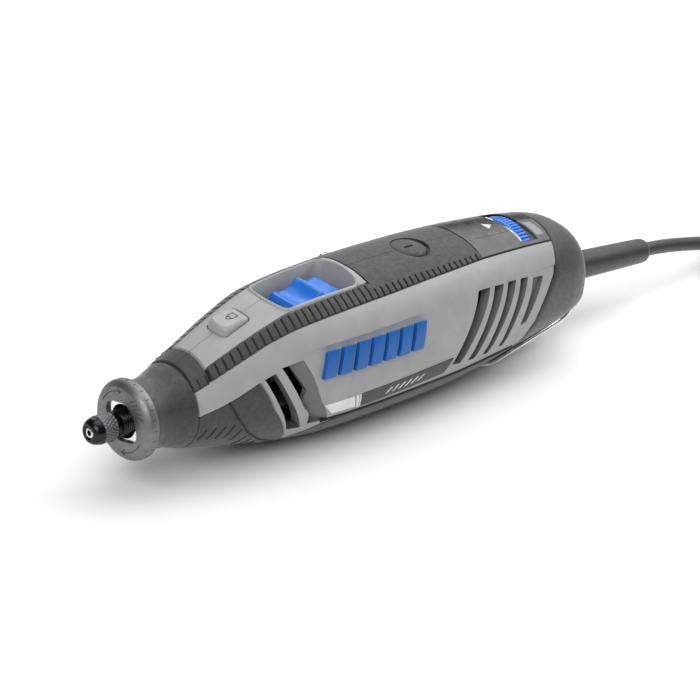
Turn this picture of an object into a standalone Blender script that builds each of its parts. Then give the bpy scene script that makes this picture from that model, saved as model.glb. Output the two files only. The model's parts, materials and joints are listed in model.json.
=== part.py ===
"""Rotary hobby tool: two clamshell halves with soft grips, motor, spindle, switch, dial, hanger and lead.

Lengths are in millimetres until a mesh is made. They are measured in the tool's own frame: x runs back
from the collet's tip along the spindle, -y is the user's left flank, z is the height over the spindle axis.
"""

import math

import bmesh
import bpy
import numpy as np
from mathutils import Matrix, Vector

MM = 0.001

# Overall size
LENGTH = 234.0
AXIS_HEIGHT = 25.8
BODY_FRONT = 34.3
BODY_REAR = 227.5

# Body profile: stations along the spindle, with the height over the axis, half width and depth below it.
STATIONS = [34, 45, 60, 75, 95, 120, 145, 165, 185, 205, 215, 221, 225, 227.5]
HEIGHTS = [15.2, 20.4, 26.2, 30.3, 31.7, 32.2, 31.8, 31.0, 29.6, 27.2, 25.2, 23.0, 19.5, 14.0]
HALF_WIDTHS = [14.5, 17.0, 20.6, 23.4, 25.5, 26.4, 26.4, 25.7, 24.4, 22.4, 21.0, 19.3, 16.8, 12.5]
DEPTHS = [14.5, 17.2, 20.8, 24.0, 26.4, 26.7, 26.5, 24.8, 20.8, 16.8, 14.8, 13.2, 11.2, 8.0]

# Section angles, in degrees from the top, of the lines that part hard plastic from soft grip.
BAND_INNER_ANGLE = [(34, 33), (45, 29), (60, 24.6), (75, 21.8), (98, 20.4), (230, 20.4)]
BAND_OUTER_ANGLE = [(34, 48.5), (47, 44), (62, 38.5), (92, 35.8), (120, 34.3), (165, 30), (230, 30)]
FACET_ANGLE = [(34, 79), (45, 72), (55, 65), (71, 57), (104, 57), (138, 55.5), (158, 52.5), (230, 52.5)]
SEAM_ANGLE = 136.0
STEP_ANGLE = 0.9

# Walls and clearances
WALL = 4.0
GRIP_THICKNESS = 1.2
GAP = 0.3
RECESS = GRIP_THICKNESS + GAP

# Zones along the body
NOSE_BAND_END = 40.0
SIDE_PAD_END = 57.0
REAR_TOP_START = 109.5
TAIL_INSERT_START = 164.5
TAIL_INSERT_END = 203.0
TAIL_SEAM = [(0, 208.0), (32, 204.6), (60, 200.4), (97, 187.0), (136, 180.5), (180, 177.0)]
FRONT_SLANT = 0.245
REAR_SLANT = -0.27

# Spindle and motor, as (start, end) along the spindle and radii
SHAFT_RADIUS = 3.0
SHAFT_END = 158.5
CORE = (88.0, 122.0)
CORE_RADIUS = 14.0
COIL_END_RADIUS = 11.5
COMMUTATOR_RADIUS = 8.5
BEARING_RADIUS = 8.0
LOCK_X = 56.0
BRUSH_X = 140.5
CAP_RADIUS = 6.5

# Switch
WELL = (71.4, 107.0)
WELL_HALF_WIDTH = 10.0
SLIDER = (79.5, 102.5)

# Vents in each flank: place of the first at its middle height, pitch, size and lean in degrees
FRONT_VENTS = {"count": 2, "x": 64.8, "pitch": 7.2, "z": 2.6, "width": 4.4, "height": 21.0, "lean": -28.5}
REAR_VENTS = {"count": 5, "x": 154.4, "pitch": 8.05, "z": 7.6, "width": 4.6, "height": 24.4, "lean": 30.0}

# Dial
DIAL = (190.0, 196.0)
DIAL_RADIUS = 16.8
DIAL_HEIGHT = 12.4

# Hanger
HANGER_X = 231.3
HANGER_Z = 1.0
HANGER_HALF_WIDTH = 8.6
HANGER_WIRE_RADIUS = 1.15
HANGER_REACH = -49.6

# Lead
CORD_RADIUS = 2.75
RELIEF_START = (219.6, 0.0, 0.9)
RELIEF_LENGTH = 63.6
RELIEF_DROOP = math.radians(5.0)
COIL_CENTRE = (386.0, -20.0)
COIL_INNER_RADIUS = 22.6
COIL_OUTER_RADIUS = 41.6
COIL_HEIGHT = 22.6
PLUG_OFFSET = (24.0, 11.7)
PLUG_LENGTH = 34.0
PLUG_WIDTH = 35.0
PLUG_THICKNESS = 13.7
PIN_LENGTH = 19.0
PIN_RADIUS = 2.0

GREY = (0.33, 0.33, 0.34)
SOFT = (0.035, 0.035, 0.037)
DARK = (0.02, 0.02, 0.021)
BLUE = (0.01, 0.12, 0.62)
STEEL = (0.45, 0.46, 0.48)
COPPER = (0.55, 0.22, 0.09)
BRASS = (0.55, 0.4, 0.14)


def clear_scene():
    for thing in list(bpy.data.objects):
        bpy.data.objects.remove(thing, do_unlink=True)


def new_collection(name):
    made = bpy.data.collections.new(name)
    bpy.context.scene.collection.children.link(made)
    return made


clear_scene()
PARTS = new_collection("rotary_hobby_tool")
CUTTERS = new_collection("cutters")
TOOL = bpy.data.objects.new("tool_frame", None)
TOOL.location = Vector((-LENGTH / 2, 0, AXIS_HEIGHT)) * MM
PARTS.objects.link(TOOL)


def material(name, colour, roughness=0.5, metallic=0.0):
    made = bpy.data.materials.new(name)
    made.use_nodes = True
    shader = made.node_tree.nodes["Principled BSDF"]
    shader.inputs["Base Color"].default_value = (*colour, 1)
    shader.inputs["Roughness"].default_value = roughness
    shader.inputs["Metallic"].default_value = metallic
    return made


def place(name, mesh, colour, origin=(0, 0, 0), roughness=0.5, metallic=0.0):
    """A part: an object of its own, held in the tool's frame."""
    part = bpy.data.objects.new(name, mesh)
    mesh.materials.append(material(name, colour, roughness, metallic))
    part.location = Vector(origin) * MM
    part.parent = TOOL
    PARTS.objects.link(part)
    return part


def cutter_from(name, build):
    """A cutter made of the solids that build adds to one mesh."""
    shape = bmesh.new()
    build(shape)
    mesh = bpy.data.meshes.new(name)
    shape.to_mesh(mesh)
    shape.free()
    made = bpy.data.objects.new(name, mesh)
    made.parent = TOOL
    made.hide_render = True
    made.display_type = "WIRE"
    CUTTERS.objects.link(made)
    return made


def cut(part, tool):
    boolean = part.modifiers.new("cut_" + tool.name, "BOOLEAN")
    boolean.operation = "DIFFERENCE"
    boolean.solver = "EXACT"
    boolean.object = tool


def add_box(shape, low, high, tilt=0.0, centre=None):
    """A box between two corners, tilted in degrees about the y axis through its centre."""
    low = Vector(low) * MM
    high = Vector(high) * MM
    middle = (low + high) / 2 if centre is None else Vector(centre) * MM
    size = Matrix.Diagonal((*(high - low), 1))
    turn = Matrix.Rotation(math.radians(tilt), 4, "Y")
    bmesh.ops.create_cube(shape, size=1, matrix=Matrix.Translation(middle) @ turn @ size)


def add_rod(shape, centre, radius, length, axis="Z", segments=24):
    """A cylinder about the given axis, centred on a point."""
    turn = {"X": Matrix.Rotation(math.pi / 2, 4, "Y"), "Y": Matrix.Rotation(math.pi / 2, 4, "X"), "Z": Matrix()}
    bmesh.ops.create_cone(
        shape, cap_ends=True, segments=segments, radius1=radius * MM, radius2=radius * MM,
        depth=length * MM, matrix=Matrix.Translation(Vector(centre) * MM) @ turn[axis],
    )


def box(name, low, high, colour, roughness=0.5, metallic=0.0, bevel=0.0):
    shape = bmesh.new()
    centre = (Vector(low) + Vector(high)) / 2
    add_box(shape, Vector(low) - centre, Vector(high) - centre)
    mesh = bpy.data.meshes.new(name)
    shape.to_mesh(mesh)
    shape.free()
    part = place(name, mesh, colour, centre, roughness, metallic)
    if bevel:
        rounding = part.modifiers.new("edges", "BEVEL")
        rounding.width = bevel * MM
        rounding.segments = 2
    return part


def turned(name, outline, colour, origin=(0, 0, 0), axis="X", steps=28, closed=True, roughness=0.5, metallic=0.0):
    """A turned part. The outline is (distance along the axis, radius), down the outer side and up the bore."""
    mesh = bpy.data.meshes.new(name)
    points = [(radius * MM, 0, along * MM) for along, radius in outline]
    edges = [(i, i + 1) for i in range(len(points) - 1)]
    if closed:
        edges.append((len(points) - 1, 0))
    mesh.from_pydata(points, edges, [])
    part = place(name, mesh, colour, origin, roughness, metallic)
    screw = part.modifiers.new("turn", "SCREW")
    screw.axis = "Z"
    screw.steps = steps
    screw.render_steps = steps
    screw.use_smooth_shade = True
    screw.use_merge_vertices = True
    screw.merge_threshold = 0.00001
    if axis == "X":
        part.rotation_euler = (0, math.pi / 2, 0)
    if axis == "Y":
        part.rotation_euler = (-math.pi / 2, 0, 0)
    return part


def ring(name, start, end, inner, outer, colour, **options):
    """A plain ring or tube between two places on its axis."""
    return turned(name, [(end, outer), (start, outer), (start, inner), (end, inner)], colour, **options)


def flat_outline(name, splines, thickness, colour, origin, rotation, roughness=0.5, metallic=0.0):
    """A flat shape with thickness, from closed outlines. The ones inside are holes."""
    curve = bpy.data.curves.new(name, "CURVE")
    curve.dimensions = "2D"
    curve.fill_mode = "BOTH"
    curve.extrude = thickness / 2 * MM
    for outline in splines:
        spline = curve.splines.new("POLY")
        spline.points.add(len(outline) - 1)
        for point, (across, up) in zip(spline.points, outline):
            point.co = (across * MM, up * MM, 0, 1)
        spline.use_cyclic_u = True
    guide = bpy.data.objects.new(name + "_guide", curve)
    CUTTERS.objects.link(guide)
    graph = bpy.context.evaluated_depsgraph_get()
    mesh = bpy.data.meshes.new_from_object(guide.evaluated_get(graph))
    bpy.data.objects.remove(guide)
    shape = bmesh.new()
    shape.from_mesh(mesh)
    bmesh.ops.remove_doubles(shape, verts=shape.verts, dist=0.000001)
    bmesh.ops.recalc_face_normals(shape, faces=shape.faces)
    shape.to_mesh(mesh)
    shape.free()
    part = place(name, mesh, colour, origin, roughness, metallic)
    part.rotation_euler = rotation
    return part


def tube(name, points, radius, colour, origin=(0, 0, 0), sides=2, roughness=0.5, metallic=0.0):
    """A round wire or cord along the points."""
    curve = bpy.data.curves.new(name, "CURVE")
    curve.dimensions = "3D"
    curve.bevel_depth = radius * MM
    curve.bevel_resolution = sides
    curve.use_fill_caps = True
    spline = curve.splines.new("POLY")
    spline.points.add(len(points) - 1)
    for point, place_of in zip(spline.points, points):
        point.co = (*(Vector(place_of) * MM), 1)
    return place(name, curve, colour, origin, roughness, metallic)


def smooth_path(points, count):
    """Evenly spread points on a Catmull-Rom curve through the given ones."""
    points = [Vector(point) for point in points]
    padded = [points[0] * 2 - points[1], *points, points[-1] * 2 - points[-2]]
    dense = []
    for before, start, end, after in zip(padded, padded[1:], padded[2:], padded[3:]):
        for step in range(16):
            t = step / 16
            dense.append(
                0.5 * (2 * start + (end - before) * t + (2 * before - 5 * start + 4 * end - after) * t**2
                       + (3 * start - before - 3 * end + after) * t**3)
            )
    dense.append(points[-1])
    lengths = [0.0]
    for start, end in zip(dense, dense[1:]):
        lengths.append(lengths[-1] + (end - start).length)
    wanted = np.linspace(0, lengths[-1], count)
    return [Vector([np.interp(w, lengths, [p[axis] for p in dense]) for axis in range(3)]) for w in wanted]


def monotone(x, places, values):
    """A smooth curve through the values that never overshoots them."""
    gaps = np.diff(places)
    rises = np.diff(values) / gaps
    slopes = np.zeros(len(places))
    slopes[0], slopes[-1] = rises[0], rises[-1]
    for i in range(1, len(places) - 1):
        if rises[i - 1] * rises[i] > 0:
            before, after = 2 * gaps[i] + gaps[i - 1], gaps[i] + 2 * gaps[i - 1]
            slopes[i] = (before + after) / (before / rises[i - 1] + after / rises[i])
    i = int(np.clip(np.searchsorted(places, x) - 1, 0, len(places) - 2))
    t = (x - places[i]) / gaps[i]
    return (
        (2 * t**3 - 3 * t**2 + 1) * values[i] + (t**3 - 2 * t**2 + t) * gaps[i] * slopes[i]
        + (3 * t**2 - 2 * t**3) * values[i + 1] + (t**3 - t**2) * gaps[i] * slopes[i + 1]
    )


def angle_on(line, x):
    return float(np.interp(x, [place_of for place_of, _ in line], [angle for _, angle in line]))


def body_point(x, angle, inset=0.0, side=-1):
    """A point of the body's skin, or inset under it. The section is round at the nose and squarer behind it."""
    blend = min(max((x - BODY_FRONT) / 45, 0), 1)
    blend = blend * blend * (3 - 2 * blend)
    height = monotone(x, STATIONS, HEIGHTS) - inset
    width = monotone(x, STATIONS, HALF_WIDTHS) - inset
    depth = monotone(x, STATIONS, DEPTHS) - inset
    upper, lower = 2 + 0.4 * blend, 2 - 0.2 * blend
    turn = math.radians(min(max(angle, 0), 180))
    power = upper if angle <= 90 else lower
    across = width * abs(math.sin(turn)) ** (2 / power)
    if angle <= 90:
        up = height * abs(math.cos(turn)) ** (2 / power)
    else:
        up = max(-depth * abs(math.cos(turn)) ** (2 / power), inset - AXIS_HEIGHT)
    return (x, side * max(across, GAP / 2), up)


def slanted(x, angle):
    """Where a grid line that starts at x on top has got to at this angle: the flank's joints lean."""
    lean = max(min(angle, SEAM_ANGLE) - 60, 0)
    front = FRONT_SLANT * lean * np.interp(x, [36, 46, 75, 105], [0, 1, 1, 0])
    rear = REAR_SLANT * lean * np.interp(x, [120, 145, 200], [0, 1, 1])
    return x + front + rear


def tail_seam(angle):
    return angle_on(TAIL_SEAM, angle)


def angle_lines(x):
    """The section angles of the body's grid, from the top to the belly."""
    inner, outer, facet = (angle_on(line, x) for line in (BAND_INNER_ANGLE, BAND_OUTER_ANGLE, FACET_ANGLE))
    return [
        0, inner / 2, inner - STEP_ANGLE, inner + STEP_ANGLE, outer - STEP_ANGLE, outer + STEP_ANGLE,
        facet - STEP_ANGLE, facet + STEP_ANGLE, (facet + 90) / 2, 90, 112, SEAM_ANGLE - STEP_ANGLE,
        SEAM_ANGLE + STEP_ANGLE, 156, 169, 180,
    ]


STEP = 0.4
GRID = [
    BODY_FRONT, NOSE_BAND_END - STEP, NOSE_BAND_END + STEP, 48, SIDE_PAD_END - STEP, SIDE_PAD_END + STEP,
    75, 95, REAR_TOP_START - STEP, REAR_TOP_START + STEP, 128, 147, TAIL_INSERT_START - STEP,
    TAIL_INSERT_START + STEP, 186,
]
NOSE, PAD, TOP_REAR, INSERT, TAIL = 2, 5, 9, 13, 15
BAND_IN, BAND_OUT, FACET, BELLY, LAST = 3, 4, 7, 12, 15


def grid_point(i, k, inset, side):
    """The grid's point i along the body and k round it. The last line along is the tail's slanted seam."""
    start = GRID[min(i, TAIL - 1)]
    angle = angle_lines(start)[k]
    x = tail_seam(angle) - GAP / 2 if i == TAIL else slanted(start, angle)
    return body_point(x, angle, inset, side)


def plate(name, shape, cells, skins, colour, roughness):
    """A wall between two skins of grid points over some cells, with its open edges walled up."""
    borders = set()
    for i, k in cells:
        loop = [(i, k), (i + 1, k), (i + 1, k + 1), (i, k + 1)]
        shape.faces.new([skins[0][corner] for corner in loop])
        shape.faces.new([skins[1][corner] for corner in reversed(loop)])
        borders |= set(zip(loop, loop[1:] + loop[:1]))
    for start, end in sorted(borders):
        if (end, start) not in borders:
            shape.faces.new([skins[0][end], skins[0][start], skins[1][start], skins[1][end]])
    bmesh.ops.recalc_face_normals(shape, faces=shape.faces)
    bmesh.ops.triangulate(shape, faces=shape.faces)
    mesh = bpy.data.meshes.new(name)
    shape.to_mesh(mesh)
    shape.free()
    return place(name, mesh, colour, roughness=roughness)


def layer(name, cells, outer, inner, side, colour, roughness=0.5):
    """A wall over some of the grid's cells, between an outer and an inner inset, given per grid point."""
    shape = bmesh.new()
    corners = sorted({(i + a, k + b) for i, k in cells for a in (0, 1) for b in (0, 1)})
    skins = []
    for inset in (outer, inner):
        skins.append({
            corner: shape.verts.new(Vector(grid_point(*corner, inset(*corner), side)) * MM) for corner in corners
        })
    return plate(name, shape, cells, skins, colour, roughness)


def is_soft(i, k):
    """Whether grid point (i, k) lies under soft grip, or under the insert at the tail."""
    nose = i < NOSE and k < BAND_OUT + 1
    top_rear = i >= TOP_REAR and k < BAND_OUT + 1
    band = BAND_IN <= k <= BAND_OUT
    cheek = i < PAD and k >= FACET
    return nose or top_rear or band or cheek or k >= BELLY


def housing(side, name):
    cells = [(i, k) for i in range(TAIL) for k in range(LAST)]
    return layer(
        name, cells, lambda i, k: RECESS if is_soft(i, k) else 0.0, lambda i, k: WALL, side, GREY, 0.45,
    )


def grip_cells():
    """Nose band, ribbed band and rear top: one moulding in each half."""
    nose = [(i, k) for i in range(0, NOSE - 1) for k in range(BAND_OUT)]
    band = [(i, k) for i in range(0, INSERT - 1) for k in [BAND_IN]]
    rear = [(i, k) for i in range(TOP_REAR, INSERT - 1) for k in range(BAND_OUT)]
    return sorted(set(nose + band + rear))


def keel_cells():
    """The cheek at the front and the strip along the belly."""
    cheek = [(i, k) for i in range(0, PAD - 1) for k in range(FACET, LAST)]
    strip = [(i, k) for i in range(PAD - 1, TAIL) for k in range(BELLY, LAST)]
    return cheek + strip


def tail_insert_point(x, angle, inset):
    side = -1 if angle < 0 else 1
    x, across, up = body_point(x, abs(angle), inset, side)
    return x, 0.0 if angle == 0 else across, up


def patch(name, columns, rows, skip, inset, colour, roughness):
    """A thin plate over the tail's top, on a grid of places and signed angles, without the skipped cells."""
    cells = [
        (i, k) for i in range(len(columns) - 1) for k in range(len(rows) - 1) if (i, k) not in skip
    ]
    shape = bmesh.new()
    corners = sorted({(i + a, k + b) for i, k in cells for a in (0, 1) for b in (0, 1)})
    skins = [
        {
            (i, k): shape.verts.new(Vector(tail_insert_point(columns[i], rows[k], depth)) * MM)
            for i, k in corners
        }
        for depth in inset
    ]
    return plate(name, shape, cells, skins, colour, roughness)


def tail_plates():
    """The grey insert round the dial, and the glossy black window ahead of it."""
    columns = [TAIL_INSERT_START + STEP, 188.0, 188.6, DIAL[0] - 0.6, DIAL[1] + 0.9, TAIL_INSERT_END]
    rows = [-28.8, -26.6, -11.4, -10.6, 0, 12, 26.6, 28.8]
    window = {(0, 3), (0, 4), (0, 5), (0, 6)} | {(0, 2), (1, 3), (1, 4), (1, 5), (1, 6)}
    slot = {(3, k) for k in range(1, 6)}
    patch("tail_insert", columns, rows, window | slot, (0.0, GRIP_THICKNESS), SOFT, 0.6)
    window_rows = [-10.6, 0, 12, 26.6, 28.8]
    patch("dial_window", columns[:2], window_rows, set(), (0.0, GRIP_THICKNESS), DARK, 0.08)


def body_cutters():
    """The openings in the clamshell: switch well, lock button, brush caps, dial and vents."""

    def well(shape):
        low_x, high_x = WELL
        add_box(shape, (low_x, -WELL_HALF_WIDTH, 22.0), (high_x, WELL_HALF_WIDTH, 40))

    def button(shape):
        add_box(shape, (LOCK_X - 6.4, -5.1, 12), (LOCK_X + 6.4, 5.1, 40))

    def caps(shape):
        add_rod(shape, (BRUSH_X, 0, 30), CAP_RADIUS + GAP, 16)
        add_rod(shape, (BRUSH_X, 0, -26), CAP_RADIUS + GAP, 16)

    def dial(shape):
        centre = ((DIAL[0] + DIAL[1]) / 2, 0, DIAL_HEIGHT)
        add_rod(shape, centre, DIAL_RADIUS + 0.6, DIAL[1] - DIAL[0] + 1.2, "X", 48)

    def vents(shape):
        for row in (FRONT_VENTS, REAR_VENTS):
            for number in range(row["count"]):
                corner = Vector((row["width"] / 2, 40, row["height"] / 2))
                add_box(shape, -corner, corner, row["lean"], (row["x"] + row["pitch"] * number, 0, row["z"]))

    builders = {"well": well, "button": button, "caps": caps, "dial": dial, "vents": vents}
    return {name: cutter_from(name + "_cutter", build) for name, build in builders.items()}


def arc(radius, start, end, count, centre=(0.0, 0.0)):
    """Points on an arc, angles in degrees."""
    return [
        (centre[0] + radius * math.cos(math.radians(a)), centre[1] + radius * math.sin(math.radians(a)))
        for a in np.linspace(start, end, count)
    ]


def shells():
    """The two halves and their mouldings, cut by the openings."""
    openings = body_cutters()
    screw_holes = screw_cutter()
    for side, word in ((-1, "left"), (1, "right")):
        shell = housing(side, "housing_" + word)
        grip = layer(
            "grip_" + word, grip_cells(), lambda i, k: 0.0, lambda i, k: GRIP_THICKNESS, side, SOFT, 0.75,
        )
        keel = layer(
            "keel_grip_" + word, keel_cells(), lambda i, k: 0.0, lambda i, k: GRIP_THICKNESS, side, SOFT, 0.75,
        )
        for name in ("well", "button", "caps", "dial", "vents"):
            cut(shell, openings[name])
        cut(grip, openings["well"])
        cut(grip, openings["caps"])
        cut(keel, openings["caps"])
        if side == 1:
            cut(shell, screw_holes)


SCREW_PLACES = [(78, -13.0, 18.0), (131, -13.0, 20.8), (118, 24.0, 18.6), (178, -12.0, 18.8)]


def screw_cutter():
    """Counterbores for the screws that join the halves from the right flank."""

    def build(shape):
        for x, z, face in SCREW_PLACES:
            rings = []
            for across, radius in ((4, 1.7), (face - 1.9, 1.7), (face - 1.9, 3.3), (34, 3.3)):
                rings.append([
                    shape.verts.new(Vector((x + px, across, z + pz)) * MM)
                    for px, pz in arc(radius, 4, 364 - 22.5, 16)
                ])
            for near, far in zip(rings, rings[1:]):
                for n in range(16):
                    m = (n + 1) % 16
                    shape.faces.new([near[n], near[m], far[m], far[n]])
            shape.faces.new(rings[0])
            shape.faces.new(rings[-1])
        bmesh.ops.recalc_face_normals(shape, faces=shape.faces)

    return cutter_from("screw_cutter", build)


def tail_cap():
    """The cap behind the slanted seam, with the boss that carries the hanger and lets the lead out."""
    angles = angle_lines(186)
    around = [(1, a) for a in angles] + [(-1, a) for a in reversed(angles[1:-1])]
    shape = bmesh.new()
    rings = []

    def skin_ring(place_of, inset):
        points = []
        for side, angle in around:
            x, across, up = body_point(place_of(angle), angle, inset, side)
            points.append((x, 0.0 if angle in (0, 180) else across, up))
        return points

    def round_ring(x, radius):
        points = []
        for side, angle in around:
            turn = math.radians(angle)
            points.append((x, side * radius * math.sin(turn), radius * math.cos(turn)))
        return points

    inset = 3.0
    fractions = [0, 0.45, 0.75]

    def between(fraction):
        return lambda angle: tail_seam(angle) + 0.4 + fraction * (221 - tail_seam(angle))

    for fraction in fractions:
        rings.append(skin_ring(between(fraction), 0))
    for x in (221, 225, BODY_REAR):
        rings.append(skin_ring(lambda angle, x=x: x, 0))
    rings.append(round_ring(228.0, 7.4))
    rings.append(round_ring(LENGTH, 6.9))
    rings.append(round_ring(LENGTH, 6.4))
    rings.append(round_ring(224.6, 6.4))
    rings.append(skin_ring(lambda angle: 221, inset + 2.2))
    for fraction in reversed(fractions):
        rings.append(skin_ring(between(fraction), inset))
    made = [[shape.verts.new(Vector(point) * MM) for point in points] for points in rings]
    count = len(around)
    for ring_a, ring_b in zip(made, made[1:] + made[:1]):
        for n in range(count):
            m = (n + 1) % count
            shape.faces.new([ring_a[n], ring_a[m], ring_b[m], ring_b[n]])
    bmesh.ops.recalc_face_normals(shape, faces=shape.faces)
    mesh = bpy.data.meshes.new("tail_cap")
    shape.to_mesh(mesh)
    shape.free()
    place("tail_cap", mesh, SOFT, roughness=0.6)


def nose():
    """Collet, nut, spindle nose, wrench ring and the flared collar behind it."""
    turned(
        "collet_nut",
        [(11.0, 4.75), (3.4, 4.75), (1.2, 4.0), (0.0, 2.9), (0.0, 1.9), (1.2, 1.9), (1.2, 3.0), (5.5, 3.0),
         (5.5, 3.7), (11.0, 3.7)],
        (0.09, 0.09, 0.095), roughness=0.35, metallic=0.9,
    )
    turned(
        "collet", [(9.0, 1.95), (5.2, 1.95), (5.2, 2.7), (1.5, 2.7), (1.5, 1.2), (9.0, 1.2)],
        STEEL, steps=20, roughness=0.25, metallic=1.0,
    )
    shaft = turned(
        "spindle_shaft",
        [(SHAFT_END, 0), (SHAFT_END, SHAFT_RADIUS), (63, SHAFT_RADIUS), (63, 5.2), (50, 5.2), (50, 4.0),
         (11.4, 4.0), (11.4, 3.4), (5.8, 3.4), (5.8, 2.25), (10.5, 2.25), (10.5, 0)],
        (0.12, 0.12, 0.125), closed=False, roughness=0.35, metallic=0.9,
    )
    lock_hole = cutter_from("lock_hole_cutter", lambda shape: add_rod(shape, (LOCK_X, 0, 0), 1.7, 20, "Z", 16))
    cut(shaft, lock_hole)
    turned(
        "wrench_ring",
        [(18.4, 12.4), (17.6, 13.6), (14.1, 13.6), (13.5, 13.0), (13.5, 6.3), (18.4, 6.3)],
        (0.42, 0.42, 0.43), steps=36, roughness=0.4, metallic=0.6,
    )
    turned(
        "nose_collar",
        [(34.0, 14.4), (31.0, 13.6), (27.0, 12.3), (22.5, 11.9), (18.7, 12.5), (18.7, 6.9), (26.0, 6.9),
         (26.0, 10.2), (34.0, 10.2)],
        SOFT, steps=36, roughness=0.6,
    )
    ring("front_bearing", 37.6, 45.6, 4.3, 9.4, STEEL, steps=24, roughness=0.3, metallic=1.0)
    ring("front_bearing_mount", 37.4, 45.8, 9.7, 10.7, DARK, steps=24)


def motor():
    """Fan, armature, commutator, field and rear bearing, all about the spindle."""
    blades = []
    for number in range(9):
        turn = number * 40
        blades += arc(7.0, turn, turn + 22, 3) + arc(15.6, turn + 27, turn + 35, 2)
    facing_x = (math.pi / 2, 0, math.pi / 2)
    flat_outline("cooling_fan", [blades, arc(3.3, 0, 330, 12)], 8.5, DARK, (69.6, 0, 0), facing_x)
    bore = SHAFT_RADIUS + GAP
    front, rear = CORE
    ring("armature_winding_front", 80, front - GAP, bore, COIL_END_RADIUS, COPPER, steps=20, roughness=0.4,
         metallic=0.5)
    ring("armature_core", front, rear, bore, CORE_RADIUS, STEEL, steps=28, roughness=0.4, metallic=1.0)
    ring("armature_winding_rear", rear + GAP, 129, bore, COIL_END_RADIUS, COPPER, steps=20, roughness=0.4,
         metallic=0.5)
    ring("commutator", 131, 148, bore, COMMUTATOR_RADIUS, COPPER, steps=24, roughness=0.3, metallic=1.0)
    ring("rear_bearing", 151, 157, bore, BEARING_RADIUS, STEEL, steps=24, roughness=0.3, metallic=1.0)
    ring("rear_bearing_plate", 151.5, 155.5, BEARING_RADIUS + GAP, 19.0, DARK, steps=28)
    coil_inner, coil_outer = CORE_RADIUS + 0.7, CORE_RADIUS + 2.4
    ring("field_core", front, rear, coil_outer + GAP, 19.6, STEEL, steps=32, roughness=0.5, metallic=1.0)
    for name, start in (("field_coil_left", 120), ("field_coil_right", -60)):
        crescent = arc(coil_outer, start, start + 120, 8) + arc(coil_inner, start + 120, start, 8)
        flat_outline(name, [crescent], 44, COPPER, ((front + rear) / 2, 0, 0), facing_x, 0.4, 0.3)


def coil_points(radius, low, high, turns, per_turn):
    """A spring's wire, wound up the z axis."""
    count = int(turns * per_turn)
    return [
        (radius * math.cos(2 * math.pi * n / per_turn), radius * math.sin(2 * math.pi * n / per_turn),
         low + (high - low) * n / count)
        for n in range(count + 1)
    ]


def brushes():
    """Holder, carbon, spring and screw cap over and under the commutator."""
    for word, sign, cap_face in (("top", 1, 31.8), ("bottom", -1, 25.2)):
        upside = 0 if sign == 1 else math.pi

        def stood(part, turn=upside):
            part.rotation_euler = (turn, 0, 0)

        origin = (BRUSH_X, 0, 0)
        seat = cap_face - 4.0
        holder_top = seat - 1.0
        stood(ring("brush_holder_" + word, 9.4, holder_top, 3.4, 4.4, BRASS, origin=origin, axis="Z", steps=16,
                   roughness=0.35, metallic=1.0))
        stood(turned("carbon_brush_" + word, [(13.6, 0), (13.6, 3.0), (8.9, 3.0), (8.9, 0)], DARK,
                     origin=origin, axis="Z", steps=12, closed=False))
        stem_low = seat - 3.0
        stood(turned("brush_cap_" + word,
                     [(cap_face, 0), (cap_face, CAP_RADIUS - 0.5), (cap_face - 0.5, CAP_RADIUS),
                      (seat, CAP_RADIUS), (seat, 3.0), (stem_low, 3.0), (stem_low, 0)],
                     DARK, origin=origin, axis="Z", steps=28, closed=False))
        stood(tube("brush_spring_" + word, coil_points(2.2, 14.4, stem_low - 0.8, 2.5, 12), 0.35, STEEL,
                   origin=origin, sides=1, metallic=1.0))


def brush_cap_slots():
    """A coin slot across each cap, along the tool."""

    def build(shape):
        add_box(shape, (BRUSH_X - 2.4, -0.6, 31.0), (BRUSH_X + 2.4, 0.6, 33.0))
        add_box(shape, (BRUSH_X - 2.4, -0.6, -27.0), (BRUSH_X + 2.4, 0.6, -24.4))

    slots = cutter_from("slot_cutter", build)
    for word in ("top", "bottom"):
        cut(bpy.data.objects["brush_cap_" + word], slots)


def switch():
    """Power slider in its well, the plate under it, the link rod and the switch."""
    low_x, high_x = SLIDER
    box("slide_plate", (70.2, -9.4, 19.95), (112.0, 9.4, 21.0), (0.005, 0.05, 0.25), roughness=0.4)
    pad = [(low_x, 21.3), (low_x, 26.4), (low_x + 1.0, 27.6), (84.5, 26.2), (89.0, 26.6), (92.2, 29.0),
           (93.6, 29.4), (94.4, 28.6), (95.4, 26.8), (101.2, 27.8), (high_x, 27.2), (high_x, 21.3)]
    slider = flat_outline(
        "slide_button", [[(x - low_x, z) for x, z in pad]], 13.5, BLUE, (low_x, 0, 0), (math.pi / 2, 0, 0), 0.4,
    )
    rounding = slider.modifiers.new("edges", "BEVEL")
    rounding.width = 0.5 * MM
    rounding.segments = 1
    rounding.limit_method = "ANGLE"
    rounding.angle_limit = math.radians(60)
    box("switch_link", (high_x + GAP, -8.2, 22.2), (164.2, -6.4, 23.4), DARK)
    box("power_switch", (164.5, -10.0, 14.5), (178.0, -4.0, 23.6), (0.25, 0.02, 0.02))


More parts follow.
